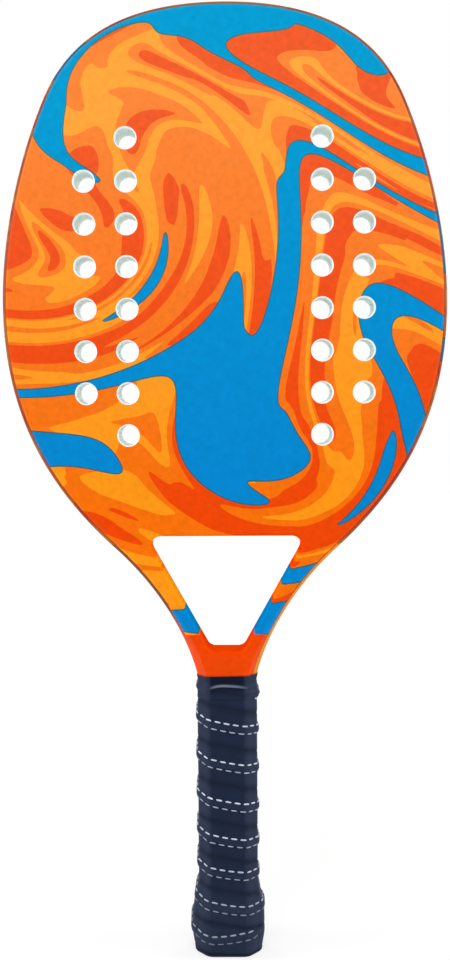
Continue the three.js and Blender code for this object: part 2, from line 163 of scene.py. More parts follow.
# Finishing tape over the grip's upper end
TAPE_TOP = 151 * MM
TAPE_FOOT = 138.8 * MM
TAPE_TILT = 0.3 * MM
TAPE_THICKNESS = 0.36 * MM
TAPE_EDGE_SHARE = 0.55
TAPE_SEAT_GAP = 1.3 * FIT_GAP
TAPE_STEP = 3.4 * MM
TAPE_BUMP = 0.9 * MM
TAPE_BUMP_LEAN_SHARE = 0.3
TAPE_BUMP_REACH = 1.7 * MM
TAPE_BUMP_HEIGHT = 143.2 * MM
TAPE_BUMP_TILT = 1.6 * MM
FOLD_HEIGHT = 146 * MM
FOLD_LEFT = -9.6 * MM
FOLD_MIDDLE = -2.4 * MM
FOLD_RIGHT = 11.5 * MM
FOLD_SAG = 1.3 * MM
FOLD_RISE = 0.6 * MM
FOLD_REACH = 0.75 * MM

# Fineness of the curves
NECK_STEPS = 56
FLANK_STEPS = 48
CROWN_SIDE_STEPS = 32
CROWN_TOP_STEPS = 44
EDGE_STEPS = 12
CORNER_STEPS = 12
HOLE_STEPS = 64
TURN_STEPS = 96
STRIP_STEPS = 34
STRIP_UNDER_STEPS = 4
STITCH_WALK_STEPS = 8 * TURN_STEPS
STITCH_SIDES = 8
STITCH_RINGS = 6
TAPE_STEPS = 44
TAPE_UNDER_STEPS = 12
TAPE_EDGE_STEPS = 2
CAP_ROUND_STEPS = 6
CAP_WALL_STEPS = 14
OVERRUN = 4 * MM
WELD = 0.001 * MM
HOLE_WELD = 0.01 * MM
FLAT_NORMAL = 0.9999

# Angles past which an edge stays crisp, in degrees
SKIN_CRISP, CORE_CRISP, GRIP_CRISP, CAP_CRISP = 28, 30, 50, 40

# Material places on a skin
FACE, RIM, LAMINATE, THROAT = range(4)

# Camera at the photograph's viewing angle
CAMERA_PLACE = Vector((5.7, -645.3, 298.4)) * MM
CAMERA_AIM = Vector((-0.5, 0, 254.1)) * MM
CAMERA_ROLL = math.radians(-0.38)
LENS = 30.45
SENSOR = 24
CLIP_START = 0.01

# Soft studio light at a plain level: each lamp's place in metres and its power
AMBIENT = 0.29
LIGHT_SIZE = 1.1
LIGHT_AIM = Vector((0, 0, 0.3))
LIGHTS = (
    ("key_light", (-0.9, -1.8, 1.3), 9.2),
    ("fill_light", (1, -1.7, 0.8), 5.4),
    ("top_light", (0, -1, 2.1), 7),
    ("left_light", (-2, -0.3, 0.9), 20),
    ("right_light", (2, -0.3, 0.9), 18),
    ("back_left_light", (-0.9, 1.8, 1.2), 12),
    ("back_right_light", (1, 1.7, 0.9), 10),
)
FLOOR_SIZE = 6
FLOOR_ROUGH = 0.9
FLOOR_SPECULAR = 0.1
FLOOR_CLOUD = (3.0, 2.0)
FLOOR_TONE = 0.02
FLOOR_WHITE_SHARE = 0.7
FLOOR_GLOW = 1.05
FLOOR_FADE = (0.3, 1.6)
WHITE = (1, 1, 1, 1)


def srgb(red, green, blue):
    """Linear colour of a screen colour given from 0 to 255."""
    def linear(value):
        share = value / 255
        return share / 12.92 if share <= 0.04045 else ((share + 0.055) / 1.055) ** 2.4
    return (linear(red), linear(green), linear(blue), 1)


def mix(a, b, share):
    return a + (b - a) * share


def smooth(value, low, high):
    share = min(max((value - low) / (high - low), 0), 1)
    return share * share * (3 - 2 * share)


def shares_of(steps):
    return [step / steps for step in range(steps + 1)]


def quarter_round(radius, share):
    """How far a rounded edge lies in from its side and back from its face, a share of the way round."""
    turn = share * math.pi / 2
    return radius * (1 - math.sin(turn)), radius * (1 - math.cos(turn))


# Outline of the skins
Station = namedtuple("Station", "x z nx nz")


def curve_stations(start, start_way, end, end_way, reach, shares, steps):
    """Stations with outward normals along one eased curve, without its end."""
    controls = (start, start + start_way * reach * shares[0], end - end_way * reach * shares[1], end)
    made = []
    for i in range(steps):
        share = i / steps
        first = [a.lerp(b, share) for a, b in zip(controls, controls[1:])]
        second = [a.lerp(b, share) for a, b in zip(first, first[1:])]
        point = second[0].lerp(second[1], share)
        way = (second[1] - second[0]).normalized()
        made.append(Station(point.x, point.y, way.y, -way.x))
    return made


def right_outline():
    """Right half of the outline, from the handle's foot up to the crown."""
    up, inward = Vector((0, 1)), Vector((-1, 0))
    shoulder_way = Vector((math.sin(SHOULDER_LEAN), math.cos(SHOULDER_LEAN)))
    corner_way = Vector((-math.sin(CROWN_CORNER_LEAN), math.cos(CROWN_CORNER_LEAN)))
    widest = Vector((HALF_WIDTH, WIDEST_HEIGHT))
    crown = Vector((0, CROWN_HEIGHT))
    rises = (SHOULDER.y - NECK_FOOT.y, widest.y - SHOULDER.y, CROWN_CORNER.y - widest.y, CROWN_CORNER.x)
    spans = (
        (NECK_FOOT, up, SHOULDER, shoulder_way, rises[0], NECK_REACH_SHARES, NECK_STEPS),
        (SHOULDER, shoulder_way, widest, up, rises[1], FLANK_REACH_SHARES, FLANK_STEPS),
        (widest, up, CROWN_CORNER, corner_way, rises[2], CROWN_SIDE_REACH_SHARES, CROWN_SIDE_STEPS),
        (CROWN_CORNER, corner_way, crown, inward, rises[3], CROWN_TOP_REACH_SHARES, CROWN_TOP_STEPS),
    )
    made = [Station(NECK_FOOT.x, SKIN_FOOT, 1, 0)]
    for span in spans:
        made += curve_stations(*span)
    return made


RIGHT = right_outline()
RIGHT_HEIGHTS = [station.z for station in RIGHT]
STATIONS = RIGHT + [Station(0, CROWN_HEIGHT, 0, 1)]
STATIONS += [Station(-s.x, s.z, -s.nx, s.nz) for s in reversed(RIGHT)]


def half_width_at(z):
    """Half width of the bare body at a height below its widest line."""
    after = bisect_right(RIGHT_HEIGHTS, z)
    if after < 1:
        return RIGHT[0].x
    low, high = RIGHT[after - 1], RIGHT[after]
    return mix(low.x, high.x, (z - low.z) / (high.z - low.z))


def edge_sizes(z, margin):
    """How far the edge reaches in and back inside a margin, and how much of it is the handle's bevel."""
    share = 1 - smooth(z, BEVEL_FULL_HEIGHT, BEVEL_GONE_HEIGHT)
    trim = mix(margin, margin * BEVEL_TRIM_SHARE, share)
    inset = mix(EDGE_ROUND_INSET, BEVEL_INSET, share) - trim
    depth = mix(EDGE_ROUND_DEPTH, BEVEL_DEPTH, share) - trim
    return inset, depth, share


def edge_point(z, margin, share):
    """Inset and depth on the edge: share 0 is on the face, 1 where the flat side starts."""
    inset, depth, bevel = edge_sizes(z, margin)
    turn = share * math.pi / 2
    in_share = mix(1 - math.sin(turn), 1 - share, bevel)
    deep_share = mix(math.cos(turn), 1 - share, bevel)
    return margin + inset * in_share, FACE_DEPTH - margin - depth * (1 - deep_share)


# Mesh helpers
def add_object(name, data):
    made = bpy.data.objects.new(name, data)
    bpy.context.scene.collection.objects.link(made)
    return made


def new_piece(name, bm, *materials):
    mesh = bpy.data.meshes.new(name)
    bmesh.ops.recalc_face_normals(bm, faces=bm.faces)
    bm.to_mesh(mesh)
    bm.free()
    for material in materials:
        mesh.materials.append(material)
    return add_object(name, mesh)


def verts_of(geometry):
    return [part for part in geometry if isinstance(part, bmesh.types.BMVert)]


def edges_of(geometry):
    return [part for part in geometry if isinstance(part, bmesh.types.BMEdge)]


def stacked_solid(name, rings, wall_place=FACE):
    """Closed solid through rings of points: the first ring is extruded from one to the next."""
    bm = bmesh.new()
    place = bm.verts.layers.int.new("place")
    first = [bm.verts.new(point) for point in rings[0]]
    for number, vert in enumerate(first):
        vert[place] = number
    edges = [bm.edges.new((first[i - 1], first[i])) for i in range(len(first))]
    bmesh.ops.contextual_create(bm, geom=edges)
    for ring in rings[1:]:
        made = bmesh.ops.extrude_edge_only(bm, edges=edges)["geom"]
        verts = set(verts_of(made))
        for vert in verts:
            vert.co = ring[vert[place]]
        edges = [edge for edge in edges_of(made) if verts.issuperset(edge.verts)]
        for edge in edges:
            edge.link_faces[0].material_index = wall_place
    bmesh.ops.contextual_create(bm, geom=edges)
    return new_piece(name, bm)


def rolled_grid(bm, around_steps, profile_steps):
    """A flat grid, and for each of its vertices the share of the way round and the profile's step."""
    bmesh.ops.create_grid(bm, x_segments=around_steps, y_segments=profile_steps, size=0.5)
    return [(vert, vert.co.x + 0.5, round((vert.co.y + 0.5) * profile_steps)) for vert in bm.verts]


def ring_piece(name, material, profile_steps, point_at, crisp_degrees):
    """A ring rolled round the handle: a function gives the point at each turn and profile step."""
    bm = bmesh.new()
    for vert, turn, step in rolled_grid(bm, 2 * TURN_STEPS, profile_steps):
        vert.co = point_at(turn, step)
    bmesh.ops.remove_doubles(bm, verts=bm.verts, dist=WELD)
    bmesh.ops.holes_fill(bm, edges=bm.edges)
    piece = new_piece(name, bm, material)
    finish_surface(piece, crisp_degrees)
    return piece


def use_one_material(piece, material):
    piece.data.materials.clear()
    piece.data.materials.append(material)


def cut(piece, tool, operation="DIFFERENCE"):
    """Cuts a piece with a tool solid, or keeps what both share."""
    modifier = piece.modifiers.new(tool.name, "BOOLEAN")
    modifier.operation = operation
    modifier.solver = "EXACT"
    modifier.object = tool
    depsgraph = bpy.context.evaluated_depsgraph_get()
    mesh = bpy.data.meshes.new_from_object(piece.evaluated_get(depsgraph))
    piece.modifiers.clear()
    old = piece.data
    piece.data = mesh
    bpy.data.meshes.remove(old)


def finish_surface(piece, crisp_degrees, flat_faces=False):
    """Smooth shading with crisp edges, and plain shading on the large flat faces."""
    mesh = piece.data
    mesh.shade_smooth()
    mesh.set_sharp_from_angle(angle=math.radians(crisp_degrees))
    if flat_faces:
        for face in mesh.polygons:
            face.use_smooth = abs(face.normal.y) < FLAT_NORMAL


# Skins
def body_solid(name, margin, drop, edge_steps, detailed):
    """The racket's closed body inside its outline, with its foot moved down by a drop."""
    def ring(side, sizes_at):
        points = []
        for s in STATIONS:
            inset, depth = sizes_at(s.z)
            foot = drop if s.z == SKIN_FOOT else 0
            points.append(Vector((s.x - s.nx * inset, side * depth, s.z - s.nz * inset - foot)))
        return points

    def half(side):
        rings = [ring(side, lambda z: edge_point(z, margin, share)) for share in shares_of(edge_steps)]
        return rings + ([ring(side, lambda z: (0, PARTING_WIDTH))] if detailed else [])

    middle = [ring(1, lambda z: (PARTING_DEPTH, 0))] if detailed else []
    return stacked_solid(name, half(-1) + middle + half(1)[::-1], RIM)


def throat_loop(grow):
    """Outline of the throat opening, grown by a size on every side."""
    def half_at(z):
        rise = (z - THROAT_FLOOR) * math.tan(THROAT_LEAN)
        return THROAT_FLOOR_WIDTH / 2 + rise + grow / math.cos(THROAT_LEAN)

    def corner(radius, height, start, end):
        grown = radius + grow
        middle = half_at(height) - grown / math.cos(THROAT_LEAN)
        turns = [mix(start, end, share) for share in shares_of(CORNER_STEPS)]
        return [(middle + grown * math.cos(t), height + grown * math.sin(t)) for t in turns]

    right = corner(THROAT_FLOOR_RADIUS, THROAT_FLOOR + THROAT_FLOOR_RADIUS, -math.pi / 2, -THROAT_LEAN)
    right += corner(THROAT_TOP_RADIUS, THROAT_CEILING - THROAT_TOP_RADIUS, -THROAT_LEAN, math.pi / 2)
    return right + [(-x, z) for x, z in reversed(right)]


def throat_solid(name, grow):
    """Cutter for the throat, with its mouth rounded outwards at both faces."""
    def ring(extra, y):
        return [Vector((x, y, z)) for x, z in throat_loop(grow + extra)]

    def half(side):
        rings = [ring(THROAT_EDGE_ROUND, side * (FACE_DEPTH + OVERRUN))]
        for share in shares_of(EDGE_STEPS):
            out, back = quarter_round(THROAT_EDGE_ROUND, share)
            rings.append(ring(out, side * (FACE_DEPTH - back)))
        return rings

    return stacked_solid(name, half(-1) + half(1)[::-1])


def hole_places():
    places = []
    for aside, first_row, count in HOLE_COLUMNS:
        for row in range(first_row, first_row + count):
            height = HOLE_TOP_ROW - row * HOLE_PITCH
            places += [Vector((aside, 0, height)), Vector((-aside, 0, height))]
    return places


def hole_cutters(name):
    """One countersunk cutter for each air hole, spun from its profile."""
    bore, rim = HOLE_BORE / 2, HOLE_RIM / 2
    reach = FACE_DEPTH + OVERRUN
    near = [(0, reach), (rim + OVERRUN, reach), (rim, FACE_DEPTH), (bore, FACE_DEPTH - (rim - bore))]
    profile = [(radius, -y) for radius, y in near] + near[::-1]
    bm = bmesh.new()
    verts = [bm.verts.new((radius, y, 0)) for radius, y in profile]
    edges = [bm.edges.new(pair) for pair in zip(verts, verts[1:])]
    bmesh.ops.spin(
        bm, geom=verts + edges, cent=(0, 0, 0), axis=(0, 1, 0), angle=2 * math.pi, steps=HOLE_STEPS,
        use_merge=True,
    )
    bmesh.ops.remove_doubles(bm, verts=bm.verts, dist=HOLE_WELD)
    for face in bm.faces:
        face.material_index = LAMINATE
    first_place, *other_places = hole_places()
    whole = bm.verts[:] + bm.edges[:] + bm.faces[:]
    for place in other_places:
        made = bmesh.ops.duplicate(bm, geom=whole)["geom"]
        bmesh.ops.translate(bm, vec=place, verts=verts_of(made))
    bmesh.ops.translate(bm, vec=first_place, verts=verts_of(whole))
    return new_piece(name, bm)


def half_space(name, side):
    """A block that holds everything in front of the middle plane, or behind it."""
    deep = FACE_DEPTH + OVERRUN
    size = (2 * (HALF_WIDTH + OVERRUN), deep, CROWN_HEIGHT + 2 * OVERRUN)
    bm = bmesh.new()
    bmesh.ops.create_cube(bm, size=1)
    bmesh.ops.scale(bm, vec=size, verts=bm.verts)
    bmesh.ops.translate(bm, vec=(0, side * deep / 2, CROWN_HEIGHT / 2), verts=bm.verts)
    return new_piece(name, bm)


def make_skins(front_materials, back_materials):
    """Front and back cover, cut from one bored shell, and the hole cutters for the core."""
    shell = body_solid("shell", 0, 0, EDGE_STEPS, True)
    cavity = body_solid("cavity", SKIN_THICKNESS, OVERRUN, EDGE_STEPS // 2, False)
    throat = throat_solid("throat_cutter", 0)
    lining = throat_solid("lining_cutter", SKIN_THICKNESS)
    holes = hole_cutters("hole_cutters")
    blocks = [half_space("front_block", -1), half_space("back_block", 1)]
    for solid, place in ((cavity, LAMINATE), (lining, LAMINATE), (throat, THROAT)):
        for face in solid.data.polygons:
            face.material_index = place
    # Every solid carries every material, so that its faces keep their places through the cuts
    for solid in (shell, cavity, throat, lining, holes, *blocks):
        for material in front_materials:
            solid.data.materials.append(material)
    cut(cavity, lining)
    cut(shell, throat)
    cut(shell, cavity)
    cut(shell, holes)
    skins = []
    names = ("front_cover", "back_cover")
    for name, block, materials in zip(names, blocks, (front_materials, back_materials)):
        skin = add_object(name, shell.data.copy())
        cut(skin, block, "INTERSECT")
        for place, material in enumerate(materials):
            skin.data.materials[place] = material
        finish_surface(skin, SKIN_CRISP, flat_faces=True)
        skins.append(skin)
    for tool in (shell, cavity, throat, lining, *blocks):
        bpy.data.objects.remove(tool)
    return skins, holes


# Foam core: the bored plate between the skins, inside the frame tube
def make_core(holes, material):
    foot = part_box("foam_core")[0].z

    def inside(s):
        width = mix(TUBE_LEG_WIDTH, TUBE_HEAD_WIDTH, smooth(s.z, LEG_FULL_HEIGHT, LEG_GONE_HEIGHT))
        reach = SKIN_THICKNESS + 2 * FIT_GAP + width
        return (s.x - s.nx * reach, s.z - s.nz * reach)

    rim = [point for point in map(inside, STATIONS) if point[1] > foot]
    # The side's lowest stretch, drawn on down to the foot
    (x_low, z_low), (x_high, z_high) = rim[0], rim[1]
    corner = x_low - (x_high - x_low) * (z_low - foot) / (z_high - z_low)
    rim = [(corner, foot)] + rim + [(-corner, foot)]
    depth = FACE_DEPTH - SKIN_THICKNESS - SEAT_GAP
    rings = [[Vector((x, side * depth, z)) for x, z in rim] for side in (-1, 1)]
    core = stacked_solid("white_core", rings)
    cut(core, holes)
    for face in core.data.polygons:
        face.material_index = 0
    use_one_material(core, material)
    finish_surface(core, CORE_CRISP, flat_faces=True)
    return core


# Handle's section, wound from the middle of the front round by the right side
def handle_flats(z):
    """The section's eight flats as outward ways, with each flat's distance from the middle."""
    wide = half_width_at(z)
    inset, depth, _ = edge_sizes(z, 0)
    slope = math.hypot(inset, depth)
    lean = Vector((depth / slope, inset / slope))
    away = lean.dot(Vector((wide, FACE_DEPTH - depth)))
    flats = (
        (0, -1, FACE_DEPTH), (lean.x, -lean.y, away), (1, 0, wide), (lean.x, lean.y, away),
        (0, 1, FACE_DEPTH), (-lean.x, lean.y, away), (-1, 0, wide), (-lean.x, -lean.y, away),
    )
    return [(Vector((x, y)), far) for x, y, far in flats]


def inner_corners(z):
    """The flats, and the centres of their eight rounded corners; corner k lies after flat k."""
    flats = handle_flats(z)
    corners = []
    for k, (n, away) in enumerate(flats):
        m, far = flats[(k + 1) % len(flats)]
        n_gap, m_gap = away - CORNER_RADIUS, far - CORNER_RADIUS
        cross = n.x * m.y - n.y * m.x
        x = (n_gap * m.y - m_gap * n.y) / cross
        y = (m_gap * n.x - n_gap * m.x) / cross
        corners.append(Vector((x, y)))
    return flats, corners


def section_shares():
    """Where each flat and each corner ends, as shares of the way round the grip's middle."""
    flats, corners = STRAIGHT_SECTION
    radius = CORNER_RADIUS + STRIP_THICKNESS
    lengths = []
    for k, (n, _) in enumerate(flats):
        lengths.append((corners[k] - corners[k - 1]).length)
        lengths.append(radius * n.angle(flats[(k + 1) % len(flats)][0]))
    total = sum(lengths)
    ends, passed = [], -lengths[0] / 2
    for length in lengths:
        passed += length
        ends.append(passed / total)
    return ends


STRAIGHT_SECTION = inner_corners(GRIP_MIDDLE)
SHARE_ENDS = section_shares()


def grip_point(turn, z, offset):
    """A point on the wound handle: turn 0 is the middle of the front, a quarter the right side."""
    flats, corners = STRAIGHT_SECTION if z < NECK_FOOT.y else inner_corners(z)
    share = turn % 1
    if share >= SHARE_ENDS[-1]:
        share -= 1
    number = bisect_right(SHARE_ENDS, share)
    start = SHARE_ENDS[number - 1] if number else SHARE_ENDS[-1] - 1
    along = (share - start) / (SHARE_ENDS[number] - start)
    k = number // 2
    n = flats[k][0]
    radius = CORNER_RADIUS + offset
    if number % 2:
        bend = n.angle(flats[(k + 1) % len(flats)][0]) * along
        cos, sin = math.cos(bend), math.sin(bend)
        flat = corners[k] + Vector((n.x * cos - n.y * sin, n.x * sin + n.y * cos)) * radius
    else:
        flat = corners[k - 1].lerp(corners[k], along) + n * radius
    return Vector((flat.x, flat.y, z))


def swell_at(z):
    """How far the grip's seat stands off the bare handle, over the swell of the butt."""
    rise = SWELL * (1 - smooth(z, SWELL_FULL, SWELL_START))
    return rise - SWELL_FALL_DROP * (1 - smooth(z, 0, SWELL_FALL))


# Wound grip strip
def wind_height(turn):
    slowed = max(0, turn - UPPER_TURNS)
    return RIB_TOP_HEIGHT - UPPER_TURN_RISE * turn + (UPPER_TURN_RISE - LOWER_TURN_RISE) * slowed


def rib_height(turn):
    """Height of the rib's middle, as the strip was wound by hand."""
    bow = RIB_BOW * min(max(turn, 0), 1) + RIB_BOW_GROWTH * max(0, turn - UPPER_TURNS)
    from_front = abs((turn + RIB_BOW_TURN + 0.5) % 1 - 0.5)
    limit = RIB_BOW_LIMIT_SHARE * smooth(from_front, *RIB_BOW_LIMIT_TURNS)
    bowed = 1 - math.cos(2 * math.pi * from_front) - limit
    last = len(RIB_WANDER_MM) - 1
    number = min(max(math.floor(turn), 0), last)
    after = RIB_WANDER_MM[min(number + 1, last)]
    change = smooth(turn, *(number + share for share in RIB_WANDER_TURNS))
    wander = mix(RIB_WANDER_MM[number], after, change) * MM
    lift = RIB_LIFT_PER_TURN * max(0, turn - RIB_LIFT_TURN)
    return wind_height(turn) + bow * bowed + wander + lift


def strip_edges(turn):
    """Heights of the strip's lower and upper edges."""
    lower = (wind_height(turn + 1) + wind_height(turn) + WINDING_GAP) / 2
    upper = (wind_height(turn - 1) + wind_height(turn) - WINDING_GAP) / 2
    return lower, upper


def strip_rise(turn, z):
    """Height of the strip's outer side over its seat, at a turn and a height."""
    lower, upper = strip_edges(turn)
    from_edge = max(min(upper - z, z - lower), 0)
    rise = STRIP_THICKNESS - STRIP_EDGE_DROP * (1 - smooth(from_edge, 0, STRIP_EDGE_ROUND)) ** 2
    from_rib = abs(z - rib_height(turn))
    ribbed = smooth(turn, *RIB_START_TURNS) * (1 - smooth(turn, *RIB_END_TURNS))
    rise += ribbed * RIB_RISE * (1 - smooth(from_rib, RIB_CREST, RIB_FOOT))
    rise -= ribbed * STITCH_GROOVE * math.exp(-((from_rib - STITCH_LINE) / (STITCH_WIDTH / 2)) ** 2)
    wrinkle = noise.noise(grip_point(turn, z, 0) / WRINKLE_LENGTH)
    rise += WRINKLE * wrinkle * smooth(from_rib, RIB_FOOT, 2 * RIB_FOOT)
    skived = smooth(z, STRIP_TOP - SKIVE_LENGTH, STRIP_TOP)
    return rise * mix(1, SKIVED_THICKNESS / STRIP_THICKNESS, skived)


def seat_point(turn, z, rise=0):
    return grip_point(turn, z, FIT_GAP + swell_at(max(z, 0)) + rise)


def strip_point(turn, z):
    return seat_point(turn, z, strip_rise(turn, z))


def make_strip(material):
    """A grid rolled into a closed section and wound down the handle, trimmed flush at both ends."""
    around = STRIP_STEPS + STRIP_UNDER_STEPS
    steps = round(TURNS_IN_ALL * TURN_STEPS)
    bm = bmesh.new()
    uv_place = bm.loops.layers.uv.new("strip")
    grid = {}
    for vert, way, across in rolled_grid(bm, steps, around):
        turn = way * steps / TURN_STEPS - TURNS_ABOVE_TOP
        lower, upper = strip_edges(turn)
        if across <= STRIP_STEPS or across == around:
            share = across / STRIP_STEPS if across < around else 0
            grid[vert] = (strip_point(turn, mix(lower, upper, share)), (turn, share))
        else:
            share = (across - STRIP_STEPS - 1) / (STRIP_UNDER_STEPS - 1)
            grid[vert] = (seat_point(turn, mix(upper, lower, share)), (turn, 0.5))
    for face in bm.faces:
        for loop in face.loops:
            loop[uv_place].uv = grid[loop.vert][1]
    for vert, (point, _) in grid.items():
        vert.co = point
    bmesh.ops.remove_doubles(bm, verts=bm.verts, dist=WELD)
    bmesh.ops.holes_fill(bm, edges=bm.edges)
    for height, way in ((STRIP_TOP, 1), (SKIN_FOOT, -1)):
        whole = bm.verts[:] + bm.edges[:] + bm.faces[:]
        made = bmesh.ops.bisect_plane(
            bm, geom=whole, plane_co=(0, 0, height), plane_no=(0, 0, way), clear_outer=True,
        )["geom_cut"]
        bmesh.ops.triangle_fill(bm, edges=edges_of(made), use_beauty=True, use_dissolve=False)
    strip = new_piece("grip_wrap", bm, material)
    finish_surface(strip, GRIP_CRISP)
    return strip


def make_stitches(*materials):
    """Two rows of short threads at an even pitch along the rib, and the thread's loose end."""
    bm = bmesh.new()
    for row, place, turn, last_turn in ((1, 0, *UPPER_ROW_TURNS), (-1, 1, *LOWER_ROW_TURNS)):
        passed = STITCH_PITCH
        last = None
        while turn < last_turn:
            z = rib_height(turn) + row * STITCH_LINE
            here = strip_point(turn, z)
            if last is not None:
                passed += (here - last).length
            if passed >= STITCH_PITCH:
                passed -= STITCH_PITCH
                if z < tape_foot(turn) - STITCH_TAPE_GAP:
                    add_stitch(bm, turn, row, place, STITCH_STAND_SHARE)
            last = here
            turn += 1 / STITCH_WALK_STEPS
    add_stitch(bm, THREAD_END_TURN, -1, 0, THREAD_END_STAND_SHARE)
    stitches = new_piece("rib_stitching", bm, *materials)
    stitches.data.shade_smooth()
    return stitches


def add_stitch(bm, turn, row, material_place, stand_share):
    """One thread: a sphere with squared ends, laid along the row and stood off by a share of its height."""
    def at(t, beside=0):
        return strip_point(t, rib_height(t) + row * STITCH_LINE + beside)

    nudge = 0.25 / TURN_STEPS
    here = at(turn)
    way = (at(turn + nudge) - at(turn - nudge)).normalized()
    across = (at(turn, STITCH_WIDTH) - here).normalized()
    out = way.cross(across).normalized()
    if out.x * here.x + out.y * here.y < 0:
        out.negate()
    across = out.cross(way)
    turned = Matrix((way, across, out)).transposed().to_4x4()
    sized = Matrix.Diagonal((STITCH_LENGTH / 2, STITCH_WIDTH / 2, STITCH_HEIGHT / 2, 1))
    laid = Matrix.Rotation(math.pi / 2, 4, "Y")
    place = Matrix.Translation(here + out * STITCH_HEIGHT * stand_share) @ turned @ sized
    made = bmesh.ops.create_uvsphere(bm, u_segments=STITCH_SIDES, v_segments=STITCH_RINGS, radius=1)
    verts = made["verts"]
    for vert in verts:
        wide = math.hypot(vert.co.x, vert.co.y)
        if wide > WELD:
            vert.co.xy *= wide ** STITCH_SQUARING / wide
    for face in {face for vert in verts for face in vert.link_faces}:
        face.material_index = material_place
    bmesh.ops.transform(bm, matrix=place @ laid, verts=verts)


# Finishing tape
def rightward(turn):
    """1 on the handle's right side, -1 on its left, and 0 on the front and the back."""
    return math.sin(2 * math.pi * turn)


def tape_foot(turn):
    return TAPE_FOOT + TAPE_TILT * rightward(turn)


def tape_offset(turn, z):
    """The tape lies on the strip and its rib, swells over the strip's end and steps down past it."""
    number = turn - 1
    while strip_edges(number)[0] > min(z, STRIP_TOP):
        number += 1
    on_strip = TAPE_SEAT_GAP + strip_rise(number, min(z, STRIP_TOP))
    base = mix(on_strip, FIT_GAP, smooth(z, STRIP_TOP, STRIP_TOP + TAPE_STEP))
    middle = TAPE_BUMP_HEIGHT - TAPE_BUMP_TILT * rightward(turn)
    bump = TAPE_BUMP * (1 + TAPE_BUMP_LEAN_SHARE * rightward(turn))
    return base + bump * math.exp(-((z - middle) / TAPE_BUMP_REACH) ** 2)


def fold_rise(turn, z):
    """A short arched fold across the front, where the tape was pulled tight."""
    x = grip_point(turn, z, 0).x
    share = (x - FOLD_MIDDLE) / ((FOLD_RIGHT if x > FOLD_MIDDLE else FOLD_LEFT) - FOLD_MIDDLE)
    on_back = 0.25 < turn < 0.75
    if share >= 1 or on_back:
        return 0
    from_fold = z - FOLD_HEIGHT + FOLD_SAG * share * share
    return FOLD_RISE * (1 - share ** 4) * math.exp(-(from_fold / FOLD_REACH) ** 2)


def tape_point(turn, step):
    """A point on the tape's outer side, or past its last step on the inner side that closes it."""
    across = step % (TAPE_STEPS + TAPE_UNDER_STEPS)
    foot = tape_foot(turn)
    top = TAPE_TOP + TAPE_TILT * rightward(turn)
    if across > TAPE_STEPS:
        z = mix(top, foot, (across - TAPE_STEPS) / TAPE_UNDER_STEPS)
        return grip_point(turn, z, tape_offset(turn, z))
    z = mix(foot, top, across / TAPE_STEPS)
    full = min(across, TAPE_STEPS - across, TAPE_EDGE_STEPS) / TAPE_EDGE_STEPS
    thickness = TAPE_THICKNESS * mix(TAPE_EDGE_SHARE, 1, full)
    return grip_point(turn, z, tape_offset(turn, z) + thickness + fold_rise(turn, z))


def make_tape(material):
    return ring_piece("end_tape", material, TAPE_STEPS + TAPE_UNDER_STEPS, tape_point, GRIP_CRISP)


# Butt cap
def make_cap(material):
    """A flared cup: its profile is carried round the handle's section, and both discs are filled."""
    lip = FIT_GAP + swell_at(CAP_FLOOR) + STRIP_THICKNESS
    profile = []
    for share in shares_of(CAP_ROUND_STEPS):
        inset, rise = quarter_round(CAP_EDGE_ROUND, share)
        profile.append((rise, lip - inset))
    profile.append((CAP_FLOOR, lip))
    for share in shares_of(CAP_WALL_STEPS):
        z = mix(CAP_FLOOR, CAP_TOP, share)
        profile.append((z, swell_at(z)))
    profile += [(CAP_TOP, FIT_GAP), (CAP_FLOOR, FIT_GAP)]

    def point_at(turn, step):
        return grip_point(turn, *profile[step])

    return ring_piece("end_cap", material, len(profile) - 1, point_at, CAP_CRISP)


# Node trees
class Tree:
    """A shader tree, with a short call for each kind of node that the finishes use."""

    def __init__(self, graph):
        self.graph = graph

    def feed(self, socket, value):
        if isinstance(value, bpy.types.NodeSocket):
            self.graph.links.new(value, socket)
        else:
            socket.default_value = value

    def add(self, kind, inputs=None, **settings):
        node = self.graph.nodes.new("ShaderNode" + kind)
        for name, value in settings.items():
            setattr(node, name, value)
        for name, value in (inputs or {}).items():
            self.feed(node.inputs[name], value)
        return node

    def math(self, operation, *values, clamp=False):
        inputs = dict(enumerate(values))
        return self.add("Math", inputs, operation=operation, use_clamp=clamp).outputs[0]

    def vector(self, operation, *values, **named):
        inputs = {**dict(enumerate(values)), **named}
        return self.add("VectorMath", inputs, operation=operation).outputs

    def mix(self, factor, first, second, blend="MIX"):
        """Mixes two colours: the node takes them at sockets 6 and 7, and gives theirs at 2."""
        inputs = {0: factor, 6: first, 7: second}
        return self.add("Mix", inputs, data_type="RGBA", blend_type=blend).outputs[2]

    def ramp(self, value, low, high, to_low=0.0, to_high=1.0):
        """Follows a value from a low to a high one, and stays level past both."""
        inputs = {"Value": value, "From Min": low, "From Max": high, "To Min": to_low, "To Max": to_high}
        return self.add("MapRange", inputs).outputs[0]

    def noise(self, place, scale, detail, distortion=0.0):
        inputs = {"Vector": place, "Scale": scale, "Detail": detail, "Distortion": distortion}
        return self.add("TexNoise", inputs).outputs[0]

    def wave(self, place, scale, distortion):
        inputs = {"Vector": place, "Scale": scale, "Distortion": distortion, "Detail": 1.0}
        return self.add("TexWave", inputs).outputs["Fac"]

    def cells(self, place, scale, **settings):
        return self.add("TexVoronoi", {"Vector": place, "Scale": scale}, **settings).outputs["Distance"]

    def mapping(self, place, **inputs):
        return self.add("Mapping", {"Vector": place, **inputs}).outputs[0]

    def axes(self, place):
        return self.add("SeparateXYZ", {0: place}).outputs

    def effect(self, effect, **inputs):
        """Places an effect, with its sockets given by their names in lower case."""
        named = {name.replace("_", " ").title(): value for name, value in inputs.items()}
        return self.add("Group", named, node_tree=effect.graph).outputs


